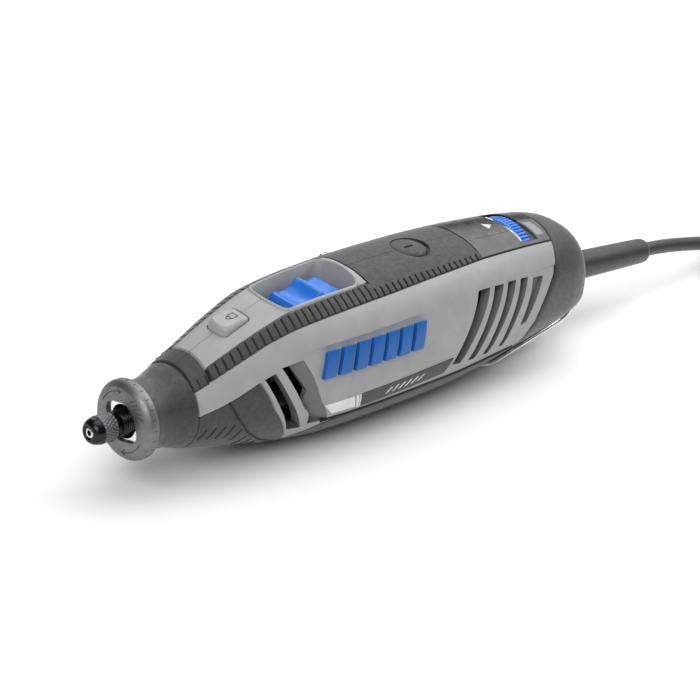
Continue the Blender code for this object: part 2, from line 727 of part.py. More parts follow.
def lock():
    """Shaft lock: a sprung button over the spindle's cross hole, and its pin."""
    shape = bmesh.new()
    add_box(shape, (-5.9, -4.6, 18.4), (5.9, 4.6, 27.4))
    for vert in shape.verts:
        if vert.co.z > 20 * MM and vert.co.x < 0:
            vert.co.z -= 1.9 * MM
    mesh = bpy.data.meshes.new("lock_button")
    shape.to_mesh(mesh)
    shape.free()
    button = place("lock_button", mesh, GREY, (LOCK_X, 0, 0), 0.45)
    rounding = button.modifiers.new("edges", "BEVEL")
    rounding.width = 0.9 * MM
    rounding.segments = 2
    origin = (LOCK_X, 0, 0)
    turned("lock_pin", [(18.1, 0), (18.1, 1.3), (5.9, 1.3), (5.9, 0)], STEEL, origin=origin, axis="Z", steps=14,
           closed=False, metallic=1.0, roughness=0.3)
    tube("lock_spring", coil_points(2.6, 7.4, 17.7, 4.5, 10), 0.35, STEEL, origin=origin, sides=1, metallic=1.0)


def electronics():
    """Dial on its potentiometer, control board and capacitor."""
    points = []
    for number in range(36):
        points += arc(DIAL_RADIUS, number * 10, number * 10 + 5, 2)
        points += arc(DIAL_RADIUS - 0.6, number * 10 + 6.5, number * 10 + 8.5, 2)
    thickness = DIAL[1] - DIAL[0]
    facing_x = (math.pi / 2, 0, math.pi / 2)
    flat_outline(
        "speed_dial", [points, arc(3.0, 0, 330, 12)], thickness, BLUE,
        ((DIAL[0] + DIAL[1]) / 2, 0, DIAL_HEIGHT), facing_x, 0.4,
    )
    turned("dial_shaft", [(197.5, 0), (197.5, 2.7), (185.3, 2.7), (185.3, 0)], STEEL, origin=(0, 0, DIAL_HEIGHT),
           steps=14, closed=False, metallic=1.0)
    box("potentiometer", (180.5, -7.0, DIAL_HEIGHT - 8.0), (185.0, 7.0, DIAL_HEIGHT + 3.0), (0.02, 0.1, 0.04))
    box("control_board", (161.0, -13.5, -9.3), (203.0, 13.5, -7.7), (0.01, 0.12, 0.04))
    turned("capacitor", [(9.0, 0), (9.0, 4.6), (-9.0, 4.6), (-9.0, 0)], (0.5, 0.35, 0.02), origin=(169, 0, -2.8),
           axis="Y", steps=16, closed=False)


def hanger():
    """The wire bail that hangs the tool nose down. Its pivots are beside the lead; it is stored forward."""
    half = [
        (0, 7.3, 0), (0, HANGER_HALF_WIDTH - 0.6, 0), (0, HANGER_HALF_WIDTH, -0.8), (0, HANGER_HALF_WIDTH, -10.0),
        (-0.9, HANGER_HALF_WIDTH, -13.6), (-3.8, HANGER_HALF_WIDTH, -16.2), (-10.0, HANGER_HALF_WIDTH, -18.1),
        (-28.0, HANGER_HALF_WIDTH, -22.0), (-42.0, HANGER_HALF_WIDTH, -25.0), (-47.0, 7.2, -25.3),
        (HANGER_REACH, 4.4, -25.4),
    ]
    path = half + [(x, -y, z) for x, y, z in reversed(half)]
    tube("hanger_wire", path, HANGER_WIRE_RADIUS, STEEL, origin=(HANGER_X, 0, HANGER_Z), sides=2, roughness=0.15,
         metallic=1.0)
    front = HANGER_X + HANGER_REACH - HANGER_WIRE_RADIUS - GAP
    box("hanger_clip", (front - 6.6, -3.6, -25.6), (front, 3.6, -23.7), DARK, roughness=0.6)


def badges():
    """A raised badge on each flank, a thin plate that follows the wall."""
    places, angles = (81, 92, 104, 116, 127), (60, 68, 77)
    cells = [(i, k) for i in range(len(places) - 1) for k in range(len(angles) - 1)]
    for side, word in ((-1, "left"), (1, "right")):
        shape = bmesh.new()
        skins = [
            {
                (i, k): shape.verts.new(Vector(body_point(x, angle, inset, side)) * MM)
                for i, x in enumerate(places) for k, angle in enumerate(angles)
            }
            for inset in (-1.1, -GAP)
        ]
        plate("badge_" + word, shape, cells, skins, BLUE, 0.35)


def screws():
    """Screws that join the halves, heads sunk in the right flank."""
    for number, (x, z, face) in enumerate(SCREW_PLACES, 1):
        turned(
            f"housing_screw_{number}",
            [(face, 0), (face, 2.9), (face - 1.6, 2.9), (face - 1.6, 1.4), (5, 1.4), (5, 0)],
            STEEL, origin=(x, 0, z), axis="Y", steps=12, closed=False, metallic=1.0, roughness=0.3,
        )


def relief_end():
    """Where the strain relief ends, and the direction that the lead leaves in."""
    out = Vector((math.cos(RELIEF_DROOP), 0, -math.sin(RELIEF_DROOP)))
    return Vector(RELIEF_START) + out * RELIEF_LENGTH, out


def lead():
    """Strain relief, the lead down to the floor, the stored coil, and the flat two-pin plug on top of it."""
    relief = turned(
        "strain_relief",
        [(RELIEF_LENGTH, 0), (RELIEF_LENGTH, 3.9), (RELIEF_LENGTH - 1.2, 4.8), (2.6, 5.7), (2.6, 7.2), (0, 7.2),
         (0, 0)],
        SOFT, origin=RELIEF_START, steps=24, closed=False, roughness=0.6,
    )
    relief.rotation_euler = (0, math.pi / 2 + RELIEF_DROOP, 0)
    end, out = relief_end()
    route = [
        end + out * GAP, (291, 0, -5.5), (300, 0, -6.8), (311, 0, -8.9), (322, 0, -11.2), (330, 0.3, -13.3),
        (338, 1.6, -16.3), (345, 3.5, -18.9), (347.6, 4.4, -19.8),
    ]
    tube("cord", smooth_path(route, 12), CORD_RADIUS, SOFT, sides=3, roughness=0.5)
    floor = -AXIS_HEIGHT
    ring("cord_coil", floor, floor + COIL_HEIGHT, COIL_INNER_RADIUS, COIL_OUTER_RADIUS, SOFT,
         origin=(*COIL_CENTRE, 0), axis="Z", steps=36)
    plug(floor + COIL_HEIGHT + GAP + PLUG_THICKNESS / 2)


def plug(height):
    """A flat plug that points along -y. Its widest place is in front of the grip."""
    entry = (COIL_CENTRE[0] + PLUG_OFFSET[0], COIL_CENTRE[1] + PLUG_OFFSET[1], height)
    wide, narrow = PLUG_WIDTH / 2, 6.0
    outline = [
        (-narrow, 0), (-9.0, -6), (-9.5, -14), (-wide, -22), (-wide, -28), (-13.5, -PLUG_LENGTH),
        (13.5, -PLUG_LENGTH), (wide, -28), (wide, -22), (9.5, -14), (9.0, -6), (narrow, 0),
    ]
    body = flat_outline("plug_body", [outline], PLUG_THICKNESS, DARK, entry, (0, 0, 0))
    rounding = body.modifiers.new("edges", "BEVEL")
    rounding.width = 2.5 * MM
    rounding.segments = 2
    rounding.limit_method = "ANGLE"
    rounding.angle_limit = math.radians(60)
    for word, across in (("a", -9.3), ("b", 9.3)):
        start = entry[1] - PLUG_LENGTH - GAP
        turned(
            "plug_pin_" + word,
            [(0, 0), (0, PIN_RADIUS), (1 - PIN_LENGTH, PIN_RADIUS), (-PIN_LENGTH, 1.2), (-PIN_LENGTH, 0)],
            STEEL, origin=(entry[0] + across, start, height), axis="Y", steps=12, closed=False,
            metallic=1.0, roughness=0.2,
        )


shells()
tail_plates()
tail_cap()
nose()
motor()
brushes()
brush_cap_slots()
switch()
lock()
electronics()
hanger()
badges()
screws()
lead()
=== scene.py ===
"""The rotary hobby tool's looks: grained shells, ribbed grips, turned metal, the lead at full length."""

import json
from math import copysign, cos, pi, radians, sin, tau

import bmesh
import bpy
import numpy as np
from mathutils import Matrix, Vector


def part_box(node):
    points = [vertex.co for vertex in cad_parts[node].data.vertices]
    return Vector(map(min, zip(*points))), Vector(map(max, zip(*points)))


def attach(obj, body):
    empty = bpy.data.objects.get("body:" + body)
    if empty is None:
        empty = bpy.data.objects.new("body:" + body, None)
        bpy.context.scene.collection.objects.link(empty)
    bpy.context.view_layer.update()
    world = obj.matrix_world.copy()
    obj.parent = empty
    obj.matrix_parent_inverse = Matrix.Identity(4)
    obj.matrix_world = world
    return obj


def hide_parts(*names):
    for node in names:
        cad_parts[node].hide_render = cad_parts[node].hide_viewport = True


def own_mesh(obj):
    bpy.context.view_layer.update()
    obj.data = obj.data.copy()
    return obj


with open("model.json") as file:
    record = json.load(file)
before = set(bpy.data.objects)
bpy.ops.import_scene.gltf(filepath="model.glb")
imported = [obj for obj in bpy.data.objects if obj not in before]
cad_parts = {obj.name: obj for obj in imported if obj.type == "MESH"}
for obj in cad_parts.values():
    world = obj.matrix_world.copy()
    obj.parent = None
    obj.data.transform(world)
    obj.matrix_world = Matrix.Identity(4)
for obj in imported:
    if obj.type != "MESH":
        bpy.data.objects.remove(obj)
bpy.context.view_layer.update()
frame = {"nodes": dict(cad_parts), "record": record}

# The tool's own frame, in millimetres: x back from the collet's tip, -y its left flank, z over the spindle.
MM = 0.001
NUT_LOW, NUT_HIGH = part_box("collet_nut")
TIP = NUT_LOW[0]
AXIS = (NUT_LOW[2] + NUT_HIGH[2]) / 2
FLOOR = -AXIS / MM
SIDES = ((-1, "left"), (1, "right"))

# Body profile, as in the model: stations, then height over the axis, half width and depth below it.
STATIONS = [34, 45, 60, 75, 95, 120, 145, 165, 185, 205, 215, 221, 225, 227.5]
HEIGHTS = [15.2, 20.4, 26.2, 30.3, 31.7, 32.2, 31.8, 31.0, 29.6, 27.2, 25.2, 23.0, 19.5, 14.0]
HALF_WIDTHS = [14.5, 17.0, 20.6, 23.4, 25.5, 26.4, 26.4, 25.7, 24.4, 22.4, 21.0, 19.3, 16.8, 12.5]
DEPTHS = [14.5, 17.2, 20.8, 24.0, 26.4, 26.7, 26.5, 24.8, 20.8, 16.8, 14.8, 13.2, 11.2, 8.0]

# Section angles, in degrees from the top, of the lines that part hard plastic from soft grip.
BAND_INNER = [(34, 33), (45, 29), (60, 24.6), (75, 21.8), (98, 20.4), (230, 20.4)]
BAND_OUTER = [(34, 48.5), (47, 44), (62, 38.5), (92, 35.8), (120, 34.3), (165, 30), (230, 30)]
FACET = [(34, 79), (45, 72), (55, 65), (71, 57), (104, 57), (138, 55.5), (158, 52.5), (230, 52.5)]
CHEEK_SEAM = [(44.9, 75), (50.8, 101), (54.4, 115), (62.3, 132), (72.9, 145), (78, 152)]
TAIL_SEAM = [(0, 208.0), (32, 204.6), (60, 200.4), (97, 187.0), (136, 180.5), (180, 177.0)]
KEEL = [
    (55, 140), (62, 133), (69, 127), (76, 121), (88, 116), (110, 114.8), (142, 113.8), (170, 113), (185, 117),
]
LEAN_START, LEAN_END = 60.0, 136.0
ROUND_NOSE = 45.0
STEP_ANGLE = 0.9
GAP = 0.3
WALL = 4.0
SKIN = 1.2

# Colours, linear
LIGHT_GREY = (0.32, 0.32, 0.322)
RUBBER = (0.038, 0.038, 0.039)
BLACK = (0.004, 0.004, 0.004)
BLUE = (0.011, 0.15, 0.60)
DEEP_BLUE = (0.003, 0.03, 0.17)


def to_row(x, y, z):
    """A point of the tool's frame in the row's frame, in metres."""
    return Vector((TIP + x * MM, y * MM, AXIS + z * MM))


def ease(t):
    """A smooth step from 0 to 1."""
    t = min(max(t, 0), 1)
    return t * t * (3 - 2 * t)


# Body surface


def slopes_of(places, values):
    """Slopes of a curve through the values that never overshoots them."""
    gaps = np.diff(places)
    rises = np.diff(values) / gaps
    slopes = np.zeros(len(places))
    slopes[0], slopes[-1] = rises[0], rises[-1]
    for i in range(1, len(places) - 1):
        if rises[i - 1] * rises[i] > 0:
            before, after = 2 * gaps[i] + gaps[i - 1], gaps[i] + 2 * gaps[i - 1]
            slopes[i] = (before + after) / (before / rises[i - 1] + after / rises[i])
    return slopes


PROFILES = [(values, slopes_of(STATIONS, values)) for values in (HEIGHTS, HALF_WIDTHS, DEPTHS)]


def profile_at(x):
    """Height, half width and depth of the body's section at x, on curves that never overshoot."""
    i = int(np.clip(np.searchsorted(STATIONS, x) - 1, 0, len(STATIONS) - 2))
    gap = STATIONS[i + 1] - STATIONS[i]
    t = (x - STATIONS[i]) / gap
    start, start_slope = 2 * t**3 - 3 * t**2 + 1, (t**3 - 2 * t**2 + t) * gap
    end, end_slope = 3 * t**2 - 2 * t**3, (t**3 - t**2) * gap
    return [
        start * values[i] + start_slope * slopes[i] + end * values[i + 1] + end_slope * slopes[i + 1]
        for values, slopes in PROFILES
    ]


def line_at(line, x):
    """The value at x of a line given as (place, value) pairs."""
    return float(np.interp(x, [place for place, _ in line], [value for _, value in line]))


def body_point(x, angle, inset=0.0, side=-1):
    """A point of the skin. A negative angle is on the other side."""
    if angle < 0:
        side, angle = -side, -angle
    blend = ease((x - STATIONS[0]) / ROUND_NOSE)
    height, width, depth = (value - inset for value in profile_at(x))
    power = 2 + 0.4 * blend if angle <= 90 else 2 - 0.2 * blend
    turn = radians(min(angle, 180))
    across = side * width * abs(sin(turn)) ** (2 / power)
    if angle <= 90:
        return x, across, height * abs(cos(turn)) ** (2 / power)
    return x, across, max(-depth * abs(cos(turn)) ** (2 / power), inset + FLOOR)


def slanted(x, angle):
    """Where a grid line that starts at x on top has got to at this angle."""
    lean = max(min(angle, LEAN_END) - LEAN_START, 0)
    front = 0.245 * lean * np.interp(x, [36, 46, 75, 105], [0, 1, 1, 0])
    rear = -0.27 * lean * np.interp(x, [120, 145, 200], [0, 1, 1])
    return x + front + rear


def chine(x, angle):
    """How far the side face lies under the skin below the facet line, so that the rail has an edge."""
    below = angle - line_at(FACET, x)
    rise = min(max((x - 60) / 15, 0), 1)
    if below <= 0:
        return 0.0
    return rise * 0.7 * min(below / 1.6, 1) * max(1 - below / 60, 0)


STOPS = [34.3, 39.6, 40.4, 54.2, 55.0, 109.1, 109.9, 164.1, 164.9, None]
STOP_STEPS = [3, 1, 8, 1, 34, 1, 22, 1, 14]
BAND_STEPS = [6, 1, 5, 1, 6, 2, 18, 1, 10]


def fine(counts):
    """Numbers from 0 up, with each whole stretch split into its count."""
    numbers = [whole + part / count for whole, count in enumerate(counts) for part in range(count)]
    return numbers + [len(counts)]


ALONG = fine(STOP_STEPS)
ROUND = fine(BAND_STEPS)


def borders(x):
    """The section angles at x of the grid's whole numbers round the body."""
    inner, outer, facet = (line_at(line, x) for line in (BAND_INNER, BAND_OUTER, FACET))
    return [
        0, inner - STEP_ANGLE, inner + STEP_ANGLE, outer - STEP_ANGLE, outer + STEP_ANGLE,
        facet - 0.3, facet + 1.5, line_at(KEEL, x) - STEP_ANGLE, line_at(KEEL, x) + STEP_ANGLE, 180,
    ]


def stop_place(index, angle):
    """Where a stop along the body lies at this angle."""
    if STOPS[index] is None:
        return line_at(TAIL_SEAM, angle) - GAP / 2
    return slanted(STOPS[index], angle)


def grid_place(s, t):
    """The x and the section angle of a point of the body's grid."""
    start = STOPS[min(int(s), len(STOPS) - 2)]
    end = STOPS[min(int(s) + 1, len(STOPS) - 1)] or 190.0
    angle = float(np.interp(t, range(10), borders(start + (end - start) * (s - int(s)))))
    whole = min(int(s), len(STOPS) - 2)
    low, high = stop_place(whole, angle), stop_place(whole + 1, angle)
    return low + (high - low) * (s - whole), angle


def under_grip(s, t):
    """Whether soft grip covers this place of the grid."""
    nose = s <= 1 and t <= 3
    top_rear = s >= 6 and t <= 3
    cheek = s <= 3 and t >= 6
    return nose or top_rear or 2 <= t <= 3 or cheek or t >= 8


def cells_of(columns, rows):
    return [(i, k) for i in range(columns) for k in range(rows)]


def add_skin(shape, keep, outer, inner, side):
    """A wall over the cells that keep chooses. Outer is an inset, or a function of s, t, x and angle."""
    cells = [(i, k) for i, k in cells_of(len(ALONG) - 1, len(ROUND) - 1) if keep(ALONG[i], ROUND[k])]
    corners = sorted({(i + a, k + b) for i, k in cells for a in (0, 1) for b in (0, 1)})
    skins = [{}, {}]
    for i, k in corners:
        x, angle = grid_place(ALONG[i], ROUND[k])
        top = outer(ALONG[i], ROUND[k], x, angle) if callable(outer) else outer
        for skin, inset in zip(skins, (top, inner)):
            place, across, up = body_point(x, angle, inset, side)
            if k in (0, len(ROUND) - 1):
                across = side * GAP / 4
            skin[i, k] = shape.verts.new(to_row(place, across, up))
    add_walls(shape, cells, skins)
    bmesh.ops.triangulate(shape, faces=shape.faces)


def add_walls(shape, cells, skins):
    """Both skins of the cells, and a wall round every open edge."""
    edges = set()
    for i, k in cells:
        loop = [(i, k), (i + 1, k), (i + 1, k + 1), (i, k + 1)]
        shape.faces.new([skins[0][corner] for corner in loop])
        shape.faces.new([skins[1][corner] for corner in reversed(loop)])
        edges |= set(zip(loop, loop[1:] + loop[:1]))
    for start, end in sorted(edges):
        if (end, start) not in edges:
            shape.faces.new([skins[0][end], skins[0][start], skins[1][start], skins[1][end]])


def add_patch(shape, places, angles, outer, inner, side, skip=lambda x, angle: False):
    """A plate that follows the skin. A place may be a function of the angle, and an angle one of the place.

    Cells are left out where skip is true of their middle.
    """
    corners = {}
    for i, place in enumerate(places):
        for k, angle in enumerate(angles):
            turn = angle(place) if callable(angle) else angle
            x = place(turn) if callable(place) else place
            corners[i, k] = (x, turn)
    cells = []
    for i, k in cells_of(len(places) - 1, len(angles) - 1):
        (x0, a0), (x1, a1) = corners[i, k], corners[i + 1, k + 1]
        if not skip((x0 + x1) / 2, (a0 + a1) / 2):
            cells.append((i, k))
    used = sorted({(i + a, k + b) for i, k in cells for a in (0, 1) for b in (0, 1)})
    skins = [
        {key: shape.verts.new(to_row(*body_point(*corners[key], inset, side))) for key in used}
        for inset in (outer, inner)
    ]
    add_walls(shape, cells, skins)


# Mesh helpers


def new_object(name, data):
    made = bpy.data.objects.new(name, data)
    bpy.context.scene.collection.objects.link(made)
    return made


def piece(name, shape, finish, body="housing", replaces=(), bevel=0.0, cutters=(), angle=32):
    """Makes a finished piece of a bmesh. Edges over the angle are bevelled, or stay sharp if bevel is 0."""
    bmesh.ops.recalc_face_normals(shape, faces=shape.faces)
    for face in shape.faces:
        face.smooth = True
    mesh = bpy.data.meshes.new(name)
    if not bevel:
        for edge in shape.edges:
            if len(edge.link_faces) == 2 and edge.calc_face_angle(0) > radians(angle):
                edge.smooth = False
    shape.to_mesh(mesh)
    shape.free()
    made = new_object(name, mesh)
    mesh.materials.append(FINISH[finish])
    for cutter in cutters:
        boolean = made.modifiers.new("cut", "BOOLEAN")
        boolean.operation = "DIFFERENCE"
        boolean.solver = "EXACT"
        boolean.material_mode = "TRANSFER"
        boolean.object = cutter
    if cutters:
        bake(made)
    if bevel:
        rounding = made.modifiers.new("edges", "BEVEL")
        rounding.width = bevel * MM
        rounding.segments = 2
        rounding.limit_method = "ANGLE"
        rounding.angle_limit = radians(angle)
        made.modifiers.new("normals", "WEIGHTED_NORMAL")
    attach(made, body)
    if replaces:
        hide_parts(*replaces)
    return made


def bake(made):
    """Applies the object's modifiers."""
    graph = bpy.context.evaluated_depsgraph_get()
    mesh = bpy.data.meshes.new_from_object(made.evaluated_get(graph))
    made.modifiers.clear()
    made.data = mesh


def cutter(name, build, cut_finish=None):
    """A solid to cut with. The cuts take the finish given, so a darker finish paints shade on the walls of
    the cuts.
    """
    shape = bmesh.new()
    build(shape)
    bmesh.ops.recalc_face_normals(shape, faces=shape.faces)
    mesh = bpy.data.meshes.new(name)
    shape.to_mesh(mesh)
    shape.free()
    if cut_finish:
        mesh.materials.append(FINISH[cut_finish])
    made = new_object(name, mesh)
    CUTTERS.append(made)
    return made


CUTTERS = []


def drop_cutters():
    """The cutting solids are no part of the object."""
    for made in CUTTERS:
        bpy.data.objects.remove(made)


def join_rings(shape, rings, closed=False):
    """Faces from each ring of vertices to the next, with both ends capped unless the last meets the first."""
    for near, far in list(zip(rings, rings[1:])) + ([(rings[-1], rings[0])] if closed else []):
        for n in range(len(near)):
            m = (n + 1) % len(near)
            shape.faces.new([near[n], near[m], far[m], far[n]])
    if not closed:
        shape.faces.new(rings[0][::-1])
        shape.faces.new(rings[-1])


def add_rings(shape, rings, closed=False):
    """A solid over rings of points of the tool's frame."""
    join_rings(shape, [[shape.verts.new(to_row(*point)) for point in ring] for ring in rings], closed)


def add_prism(shape, outline, low, high):
    """A prism over an outline of (x, y), between two heights."""
    add_rings(shape, [[(x, y, z) for x, y in outline] for z in (low, high)])


def add_slab(shape, centre, size, turn=0.0):
    """A box, turned by an angle about the spindle's line."""
    scale = Matrix.Rotation(turn, 4, "X") @ Matrix.Diagonal((*(Vector(size) * MM), 1))
    bmesh.ops.create_cube(shape, size=1, matrix=Matrix.Translation(to_row(*centre)) @ scale)


def add_turned(shape, profile, centre=(0, 0, 0), axis="X", steps=64, ripple=None):
    """A solid of revolution over (distance along, radius) pairs. ripple(n, angle) adds to a radius."""
    rings = []
    for n, (along, radius) in enumerate(profile):
        count = 1 if radius == 0 else steps
        ring = []
        for step in range(count):
            angle = tau * step / steps
            reach = radius + (ripple(n, angle) if ripple else 0)
            u, v = reach * cos(angle), reach * sin(angle)
            offset = {"X": (along, u, v), "Y": (u, along, v), "Z": (u, v, along)}[axis]
            ring.append(shape.verts.new(to_row(*(Vector(centre) + Vector(offset)))))
        rings.append(ring)
    closed = profile[0][1] > 0 and profile[-1][1] > 0
    pairs = list(zip(rings, rings[1:])) + ([(rings[-1], rings[0])] if closed else [])
    for near, far in pairs:
        for n in range(steps):
            m = (n + 1) % steps
            corners = [near[n % len(near)], near[m % len(near)], far[m % len(far)], far[n % len(far)]]
            distinct = list(dict.fromkeys(corners))
            if len(distinct) > 2:
                shape.faces.new(distinct)


def add_tube(shape, points, radius, sides=8, closed=False):
    """A round bead along points of the row's frame."""
    points = [Vector(point) for point in points]
    rings = []
    for n, point in enumerate(points):
        before = points[n - 1] if n or closed else point
        after = points[(n + 1) % len(points)] if n + 1 < len(points) or closed else point
        along = (after - before).normalized()
        across = along.cross(Vector((0, 0, 1)))
        across = (across if across.length > 0.1 else along.cross(Vector((0, 1, 0)))).normalized()
        other = along.cross(across)
        rings.append([
            shape.verts.new(point + (across * cos(a) + other * sin(a)) * radius * MM)
            for a in np.linspace(0, tau, sides, endpoint=False)
        ])
    join_rings(shape, rings, closed)


def on_skin(path, inset, side):
    """Points of the row's frame on the skin, along a path of (x, angle), at about 1 mm steps."""
    places = []
    for (x, angle), (next_x, next_angle) in zip(path, path[1:]):
        count = max(int(abs(next_x - x) + abs(next_angle - angle) / 3), 2)
        for t in np.linspace(0, 1, count, endpoint=False):
            places.append((x + (next_x - x) * t, angle + (next_angle - angle) * t))
    places.append(path[-1])
    return [to_row(*body_point(x, angle, inset, side)) for x, angle in places]


# Materials


def shader_of(name, colour, roughness, metallic=0.0):
    made = bpy.data.materials.new(name)
    made.use_nodes = True
    shader = made.node_tree.nodes["Principled BSDF"]
    shader.inputs["Base Color"].default_value = (*colour, 1)
    shader.inputs["Roughness"].default_value = roughness
    shader.inputs["Metallic"].default_value = metallic
    return made, made.node_tree, shader


def noise(tree, scale, detail=2.0, stretch=(1, 1, 1)):
    """A noise texture over the row's frame: scale is in features a metre."""
    place = tree.nodes.new("ShaderNodeTexCoord")
    mapping = tree.nodes.new("ShaderNodeMapping")
    mapping.inputs["Scale"].default_value = stretch
    texture = tree.nodes.new("ShaderNodeTexNoise")
    texture.inputs["Scale"].default_value = scale
    texture.inputs["Detail"].default_value = detail
    tree.links.new(place.outputs["Object"], mapping.inputs["Vector"])
    tree.links.new(mapping.outputs["Vector"], texture.inputs["Vector"])
    return texture.outputs["Fac"]


def spread(tree, value, low, high):
    """The value's middle range stretched to low..high."""
    node = tree.nodes.new("ShaderNodeMapRange")
    node.inputs["From Min"].default_value = 0.35
    node.inputs["From Max"].default_value = 0.65
    node.inputs["To Min"].default_value = low
    node.inputs["To Max"].default_value = high
    tree.links.new(value, node.inputs["Value"])
    return node.outputs["Result"]


def tinted(tree, shader, colour, value, amount):
    """The base colour, from darker to lighter by an amount as the value grows."""
    mix = tree.nodes.new("ShaderNodeMix")
    mix.data_type = "RGBA"
    mix.inputs["A"].default_value = (*[channel * (1 - amount) for channel in colour], 1)
    mix.inputs["B"].default_value = (*[min(channel * (1 + amount), 1) for channel in colour], 1)
    tree.links.new(spread(tree, value, 0, 1), mix.inputs["Factor"])
    tree.links.new(mix.outputs["Result"], shader.inputs["Base Color"])


def bumped(tree, shader, value, depth, strength, under=None):
    """A bump of a depth in millimetres, over another one if that is given."""
    bump = tree.nodes.new("ShaderNodeBump")
    bump.inputs["Distance"].default_value = depth * MM
    bump.inputs["Strength"].default_value = strength
    tree.links.new(value, bump.inputs["Height"])
    if under is not None:
        tree.links.new(under, bump.inputs["Normal"])
    tree.links.new(bump.outputs["Normal"], shader.inputs["Normal"])
    return bump.outputs["Normal"]


def worn(tree, shader, value, low, high):
    """Roughness that follows the value from low to high."""
    tree.links.new(spread(tree, value, low, high), shader.inputs["Roughness"])


def plastic(name, colour, roughness=0.5, grain=2600, depth=0.03, mottle=0.05, coat=0.0):
    """Moulded plastic: spark-eroded grain, cloudy colour and uneven sheen."""
    made, tree, shader = shader_of(name, colour, roughness)
    tinted(tree, shader, colour, noise(tree, 140, 5), mottle)
    worn(tree, shader, noise(tree, 420, 4), roughness - 0.06, roughness + 0.06)
    broad = bumped(tree, shader, noise(tree, 160, 2), 0.02, 0.3)
    bumped(tree, shader, noise(tree, grain, 3), depth, 0.8, broad)
    shader.inputs["Coat Weight"].default_value = coat
    shader.inputs["Coat Roughness"].default_value = 0.08
    return made


def rubber(name, colour, roughness=0.7, grain=3400):
    """Soft overmoulding: fine pores, dust in them, and a soft sheen."""
    made, tree, shader = shader_of(name, colour, roughness)
    tinted(tree, shader, colour, noise(tree, 900, 6), 0.16)
    worn(tree, shader, noise(tree, 600, 4), roughness - 0.08, roughness + 0.1)
    bumped(tree, shader, noise(tree, grain, 4), 0.05, 0.7)
    shader.inputs["Sheen Weight"].default_value = 0.3
    shader.inputs["Sheen Roughness"].default_value = 0.4
    return made


def metal(name, colour, roughness=0.3, streak=(1, 1, 1), depth=0.006, scale=2200):
    """Machined or drawn metal with streaks along one axis."""
    made, tree, shader = shader_of(name, colour, roughness, 1.0)
    lines = noise(tree, scale, 4, streak)
    worn(tree, shader, lines, roughness - 0.07, roughness + 0.12)
    tinted(tree, shader, colour, noise(tree, 300, 5), 0.1)
    bumped(tree, shader, lines, depth, 0.5)
    return made


FINISH = {
    "grey": plastic("grey_shell", LIGHT_GREY, 0.42),
    "rubber": rubber("soft_grip", RUBBER, 0.62),
    # painted shade: the grip floor between the ribs is near black, darker than the rubber
    "rubber_gap_shade": rubber("rib_gap_shade", BLACK, 0.8),
    "dark": plastic("dark_plastic", (0.03, 0.03, 0.032), 0.42, mottle=0.15),
    # black for the seams, and painted shade for the moulded grooves
    "seam": plastic("seam_black_and_groove_shade", BLACK, 0.6, mottle=0.1),
    "gloss": plastic("gloss_black", BLACK, 0.3, grain=900, depth=0.001),
    "blue": plastic("blue_plastic", BLUE, 0.36, depth=0.015),
    "deep_blue": plastic("deep_blue_plastic", DEEP_BLUE, 0.4, depth=0.015),
    "white": plastic("white_print", (0.75, 0.75, 0.76), 0.5, depth=0.004),
    "satin": rubber("satin_dark", (0.032, 0.032, 0.033), 0.5, 2600),
    "insert": plastic("insert_grey", (0.10, 0.10, 0.104), 0.5, mottle=0.1),
    "pale": plastic("pale_grey", (0.27, 0.27, 0.265), 0.45),
    "badge": plastic("badge_blue", (0.001, 0.10, 0.38), 0.34, depth=0.006, mottle=0.03),
    "dark_label": plastic("dark_label", (0.022, 0.022, 0.024), 0.38, depth=0.004),
    "etch": plastic("etched_mark", (0.06, 0.06, 0.062), 0.7),
    "knurl": metal("knurled_steel", (0.17, 0.17, 0.175), 0.36, depth=0.02),
    # painted shade: a darker grey for the cut walls of the vents and scoops
    "cut_wall_shade": plastic("painted_shade_grey", (0.13, 0.13, 0.131), 0.5),
    "ring": metal("blasted_ring", (0.22, 0.22, 0.22), 0.5, depth=0.02),
    "black_steel": metal("black_steel", (0.035, 0.036, 0.038), 0.24, (1, 0.05, 0.05)),
    "steel": metal("ground_steel", (0.55, 0.56, 0.58), 0.25),
    "wire": metal("bright_wire", (0.72, 0.73, 0.75), 0.12, (0.05, 1, 1)),
    "iron": metal("laminations", (0.22, 0.22, 0.23), 0.4, (8, 0.2, 0.2), 0.03, 900),
    "copper": metal("enamelled_copper", (0.62, 0.22, 0.07), 0.3, (0.3, 3, 3), 0.05, 1500),
    "brass": metal("brass", (0.62, 0.45, 0.16), 0.28),
    "carbon": rubber("carbon", (0.015, 0.015, 0.016), 0.6),
    "board": plastic("circuit_board", (0.01, 0.11, 0.04), 0.35),
    "film": plastic("capacitor_film", (0.45, 0.3, 0.02), 0.25, coat=0.5),
    "cord": rubber("cord_cover", (0.02, 0.02, 0.021), 0.45, 2200),
}


# Camera, light, floor


def camera():
    """The camera, at the height and distance that give the tool its drawn perspective."""
    lens = bpy.data.cameras.new("camera")
    lens.lens = 128.57
    lens.clip_start = 0.01
    made = new_object("camera", lens)
    right = Vector((0.70020, -0.70006, 0.14010))
    up = Vector((0.24607, 0.42086, 0.87311))
    turn = Matrix((right, up, right.cross(up))).transposed()
    made.matrix_world = Matrix.Translation(to_row(-464.50, -501.89, 402.98)) @ turn.to_4x4()
    bpy.context.scene.camera = made


LIT = Vector((0, 0, 0.03))
FLOOR_REACH = 6


def area_light(name, place, size, power):
    """A softbox that faces the tool."""
    lamp = bpy.data.lights.new(name, "AREA")
    lamp.shape = "RECTANGLE"
    lamp.size, lamp.size_y = size
    lamp.energy = power
    made = new_object(name, lamp)
    made.location = place
    made.rotation_euler = (LIT - Vector(place)).to_track_quat("-Z", "Y").to_euler()


